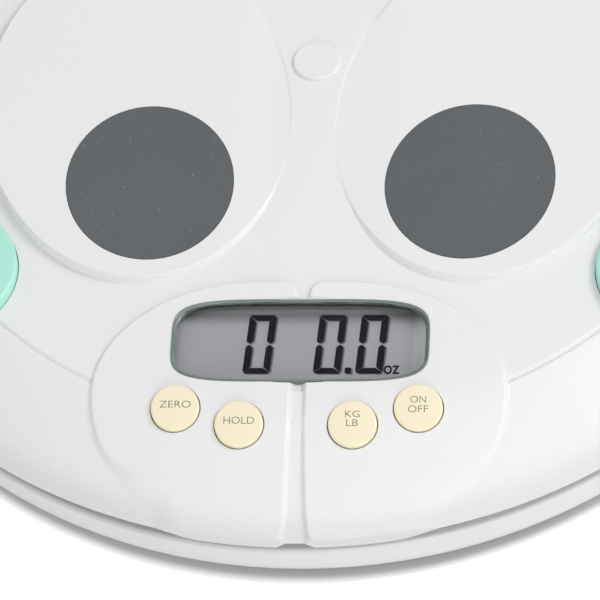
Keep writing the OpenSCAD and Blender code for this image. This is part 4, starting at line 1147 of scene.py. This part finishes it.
THIN, BOLD = -0.012, 0.012
PANEL_W = -5.17
words = {
    "zero": [("ZERO", 2.2, 0.1, 0.95, 1.18, THIN)],
    "hold": [("HOLD", 2.3, 0.1, 0.95, 1.04, THIN)],
    "unit": [("KG", 2.1, 0, 3.0, 1.16, THIN), ("LB", 2.1, 0, 0.15, 1.2, THIN)],
    "power": [("ON", 2.15, 0, 2.5, 1.02, THIN), ("OFF", 2.15, 0, -0.6, 1.15, THIN)],
}
for name, lines in words.items():
    print_words(f"{name}_word", lines, key_place[name], on_cap, f"{name}_key", "cream_plastic")
ounce = [("oz", 3.2, 28.3, -7.9, 0.78, BOLD)]
on_panel = lambda flat: np.full(len(flat), PANEL_W)
print_words("ounce_mark", ounce, display_place, on_panel, "scale_body", "lcd_ink", 0.09)

# %% [markdown]
# ## Springs, wires and screws
# A coil follows a rule, so Geometry Nodes make it: a spiral curve with a round profile. The same small tree
# makes the springs under the tray releases, at their length at rest.


# %% A tree for coils
COIL_INPUTS = {"Turns": "Float", "Radius": "Float", "Height": "Float", "Wire": "Float"}
COIL_INPUTS |= {"Place": "Vector", "Turn": "Vector", "Finish": "Material"}
STEPS_PER_TURN, WIRE_SIDES = 24, 10


def coil_tree():
    tree = bpy.data.node_groups.new("coil_spring", "GeometryNodeTree")
    for name, kind in COIL_INPUTS.items():
        tree.interface.new_socket(name=name, in_out="INPUT", socket_type="NodeSocket" + kind)
    tree.interface.new_socket(name="Geometry", in_out="OUTPUT", socket_type="NodeSocketGeometry")
    node, link = tree.nodes.new, tree.links.new
    given, result = node("NodeGroupInput"), node("NodeGroupOutput")
    spiral, profile = node("GeometryNodeCurveSpiral"), node("GeometryNodeCurvePrimitiveCircle")
    spiral.inputs["Resolution"].default_value = STEPS_PER_TURN
    profile.inputs["Resolution"].default_value = WIRE_SIDES
    sources = {"Rotations": "Turns", "Start Radius": "Radius", "End Radius": "Radius", "Height": "Height"}
    for socket, source in sources.items():
        link(given.outputs[source], spiral.inputs[socket])
    link(given.outputs["Wire"], profile.inputs["Radius"])
    sweep, move = node("GeometryNodeCurveToMesh"), node("GeometryNodeTransform")
    sweep.inputs["Fill Caps"].default_value = True
    link(spiral.outputs["Curve"], sweep.inputs["Curve"])
    link(profile.outputs["Curve"], sweep.inputs["Profile Curve"])
    link(sweep.outputs["Mesh"], move.inputs["Geometry"])
    link(given.outputs["Place"], move.inputs["Translation"])
    link(given.outputs["Turn"], move.inputs["Rotation"])
    real, dress = node("GeometryNodeRealizeInstances"), node("GeometryNodeSetMaterial")
    link(move.outputs["Geometry"], real.inputs["Geometry"])
    link(real.outputs["Geometry"], dress.inputs["Geometry"])
    link(given.outputs["Finish"], dress.inputs["Material"])
    link(dress.outputs["Geometry"], result.inputs["Geometry"])
    return tree


coils = coil_tree()
print("coil tree with", len(COIL_INPUTS), "inputs")

# %% [markdown]
# The tree runs once for each spring, on an empty carrier. Its result is taken as a plain mesh, because pieces
# leave Blender as meshes, and the carrier with its modifier is removed.


# %% Run a tree and take its result as a plain mesh
def grown(name, tree, **values):
    carrier = in_scene(name + "_carrier", bpy.data.meshes.new(name + "_carrier"))
    modifier = carrier.modifiers.new("grow", "NODES")
    modifier.node_group = tree
    for item in tree.interface.items_tree:
        if item.in_out == "INPUT" and item.name in values:
            modifier[item.identifier] = values[item.name]
    bpy.context.view_layer.update()
    mesh = bpy.data.meshes.new_from_object(carrier.evaluated_get(bpy.context.evaluated_depsgraph_get()))
    carrier.modifiers.clear()
    bpy.data.objects.remove(carrier)
    mesh.name = name
    mesh.shade_smooth()
    mesh.set_sharp_from_angle(angle=math.radians(40))
    return mesh


SPRING_LOW, SPRING_HIGH, SPRING_R, SPRING_WIRE, SPRING_TURNS = 24.3, 46.3, 6.4, 0.6, 6.0
SPRING_H = SPRING_HIGH - SPRING_LOW - 2 * SPRING_WIRE
for side, name in SIDES.items():
    x, y = side * TRAY[0] * MM, TRAY[1] * MM
    mesh = grown(
        f"release_spring_{name}", coils, Turns=SPRING_TURNS, Radius=SPRING_R * MM, Height=SPRING_H * MM,
        Wire=SPRING_WIRE * MM, Place=(x, y, (SPRING_LOW + SPRING_WIRE) * MM), Turn=(0.0, 0.0, 0.0),
        Finish=finish["spring_steel"],
    )
    spring = keep(f"release_spring_{name}", mesh, "scale_body", "spring_steel", f"tray_spring_{name}")
    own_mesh(spring)

# %% [markdown]
# Wires are soft, so each is swept again from its route with a rounder section than the solid has. The routes
# repeat the solids' own points: from each load cell, and from the battery bay, to the plug under the board.

# %% Wires
CELL, PLUG, WIRE_R, ON_FLOOR, AT_PLUG = 83.4, -97.0, 0.85, 7.7, 31.1
front_route = [
    (12 - CELL, -CELL, 12), (17.8 - CELL, -CELL, 12), (21 - CELL, 1 - CELL, 9.5),
    (26 - CELL, 5 - CELL, ON_FLOOR), (-34, PLUG + 35.6, ON_FLOOR), (-20, PLUG + 31.6, 10),
    (-12, PLUG + 19.6, 18), (-9.5, PLUG + 7.6, 25), (-9.5, PLUG + 1.1, 29), (-9.5, PLUG, AT_PLUG),
]
back_route = [
    (12 - CELL, CELL, 12), (17.8 - CELL, CELL, 12), (21 - CELL, CELL - 1, 9.5), (26 - CELL, CELL - 5, ON_FLOOR),
    (-50, 40, ON_FLOOR), (-40, 10, ON_FLOOR), (-32, -20, ON_FLOOR), (-20, PLUG + 47.6, 8.5),
    (-10, PLUG + 27.6, 14), (-5, PLUG + 11.6, 22), (-4.5, PLUG + 1.1, 29), (-4.5, PLUG, AT_PLUG),
]
battery_route = [
    (6, 94.6, 14), (6, 90.4, 13), (5, 81.4, 8.5), (1, 54.4, ON_FLOOR), (0, 20, ON_FLOOR), (0, PLUG + 47.6, 8.5),
    (0, PLUG + 27.6, 14), (0, PLUG + 11.6, 22), (0, PLUG + 1.1, 29), (0, PLUG, AT_PLUG),
]


def swept(name, routes, radius, n=12):
    """Round wires: at each point of a route, a ring square to the route's direction."""
    wires = []
    for route in routes:
        route = np.array(route, float)
        ahead = np.gradient(route, axis=0)
        ahead /= np.linalg.norm(ahead, axis=1)[:, None]
        side_way = np.cross(ahead, np.where(np.abs(ahead[:, 2:]) > 0.9, [[1, 0, 0]], [[0, 0, 1]]))
        side_way /= np.linalg.norm(side_way, axis=1)[:, None]
        t = np.linspace(0, 2 * np.pi, n, endpoint=False)
        c, s = np.cos(t), np.sin(t)
        rings = [
            centre + radius * (np.outer(c, across) + np.outer(s, np.cross(across, forward)))
            for centre, across, forward in zip(route, side_way, ahead)
        ]
        wires.append(stack(rings))
    return mesh_from(name, *joined(wires), angle=60)


mirrored = [[(-x, y, z) for x, y, z in route] for route in (front_route, back_route)]
cell_leads = swept("cell_leads", [front_route, back_route] + mirrored, WIRE_R)
keep("cell_leads", cell_leads, "scale_body", "red_wire", "sensor_wires")
battery_leads = swept("battery_leads", [battery_route], WIRE_R)
keep("battery_leads", battery_leads, "scale_body", "black_wire", "battery_wires")

# %% [markdown]
# ## Floor and light
# The photograph has a white ground with a soft shadow close under the rim. The floor is white, and around the
# scale it adds a little glow for the camera only, so it still takes the shadow. Under and just around the
# scale, shadow is painted into the floor's colour, and the glow starts only outside the rim, so the real shadow
# there is deepened. Under the scale the floor also glows, a painted light that lights the underside. It is
# clear from below, so that the underside can be looked at.

# %% Floor
FLOOR_HALF, SHADOW_START, SHADOW_END, UNDER_START, UNDER_END_R = 4, 0.1634, 0.1670, 0.12, 0.15
floor_corners = [(FLOOR_HALF * x, FLOOR_HALF * y, 0) for x, y in ((-1, -1), (1, -1), (1, 1), (-1, 1))]
floor_mesh = bpy.data.meshes.new("floor")
floor_mesh.from_pydata(floor_corners, [], [(0, 1, 2, 3)])
floor = in_scene("floor", floor_mesh)
white, tree, shader, place = new_material("white_floor")
far_out = tree.nodes.new("ShaderNodeVectorMath")
far_out.operation = "LENGTH"
tree.links.new(place.outputs["Object"], far_out.inputs[0])
away = far_out.outputs["Value"]
# Painted shadow: the floor's colour is darker up to just outside the rim.
ground_with_painted_shadow = ramp(tree, away, grey(0.59), grey(0.87), SHADOW_START, SHADOW_END, "EASE")
tree.links.new(ground_with_painted_shadow, shader.inputs["Base Color"])
shader.inputs["Roughness"].default_value = 0.9

# %% [markdown]
# The glow is an emission. Its strength is a product and a sum: camera rays times a ramp outside the rim, plus a
# ramp under the scale. A mix with a clear shader, driven by which side is seen, makes the floor one-sided.

# %% Glow of the floor
glow = tree.nodes.new("ShaderNodeEmission")
path = tree.nodes.new("ShaderNodeLightPath")
seen = tree.nodes.new("ShaderNodeMath")
seen.operation = "MULTIPLY_ADD"
# Painted light: under the scale the floor glows for every ray, to light the underside.
tree.links.new(ramp(tree, away, grey(0.5), grey(0.0), UNDER_START, UNDER_END_R), seen.inputs[2])
tree.links.new(ramp(tree, away, grey(0.0), grey(0.6), SHADOW_START, SHADOW_END, "EASE"), seen.inputs[1])
both_shaders = tree.nodes.new("ShaderNodeAddShader")
tree.links.new(path.outputs["Is Camera Ray"], seen.inputs[0])
tree.links.new(seen.outputs["Value"], glow.inputs["Strength"])
tree.links.new(shader.outputs["BSDF"], both_shaders.inputs[0])
tree.links.new(glow.outputs["Emission"], both_shaders.inputs[1])
seen_side = tree.nodes.new("ShaderNodeNewGeometry")
nothing = tree.nodes.new("ShaderNodeBsdfTransparent")
one_sided = tree.nodes.new("ShaderNodeMixShader")
tree.links.new(seen_side.outputs["Backfacing"], one_sided.inputs["Fac"])
tree.links.new(both_shaders.outputs["Shader"], one_sided.inputs[1])
tree.links.new(nothing.outputs["BSDF"], one_sided.inputs[2])
tree.links.new(one_sided.outputs["Shader"], tree.nodes["Material Output"].inputs["Surface"])
floor_mesh.materials.append(white)
print("floor", 2 * FLOOR_HALF, "m wide")

# %% [markdown]
# A broad lamp from the back right gives the shine on the right shoulder, one from the front lights the skirt,
# and the world gives the rest. The camera sees the world as pure white.


# %% Lamps and world
WORLD_LIGHT, WORLD_SEEN = 0.686, 1.0


def lamp(name, place_at, size, energy, target=(0, -0.04, 0.03)):
    light = bpy.data.lights.new(name, "AREA")
    light.shape = "DISK"
    light.size = size
    light.energy = energy
    holder = in_scene(name, light)
    holder.location = place_at
    holder.rotation_euler = (Vector(target) - Vector(place_at)).to_track_quat("-Z", "Y").to_euler()
    print(name, energy, "W")


lamp("right_lamp", (1.7, 0.3, 1.9), 1.2, 23.8)
lamp("front_lamp", (0.45, -2.2, 0.75), 1.6, 13.1)
world = bpy.data.worlds.new("studio")
bpy.context.scene.world = world
world.use_nodes = True
back = world.node_tree.nodes["Background"]
back.inputs["Color"].default_value = (1, 1, 1, 1)
path = world.node_tree.nodes.new("ShaderNodeLightPath")
level_of = world.node_tree.nodes.new("ShaderNodeMapRange")
level_of.inputs["To Min"].default_value = WORLD_LIGHT
level_of.inputs["To Max"].default_value = WORLD_SEEN
world.node_tree.links.new(path.outputs["Is Camera Ray"], level_of.inputs["Value"])
world.node_tree.links.new(level_of.outputs["Result"], back.inputs["Strength"])
bpy.context.scene.view_settings.view_transform = "Standard"
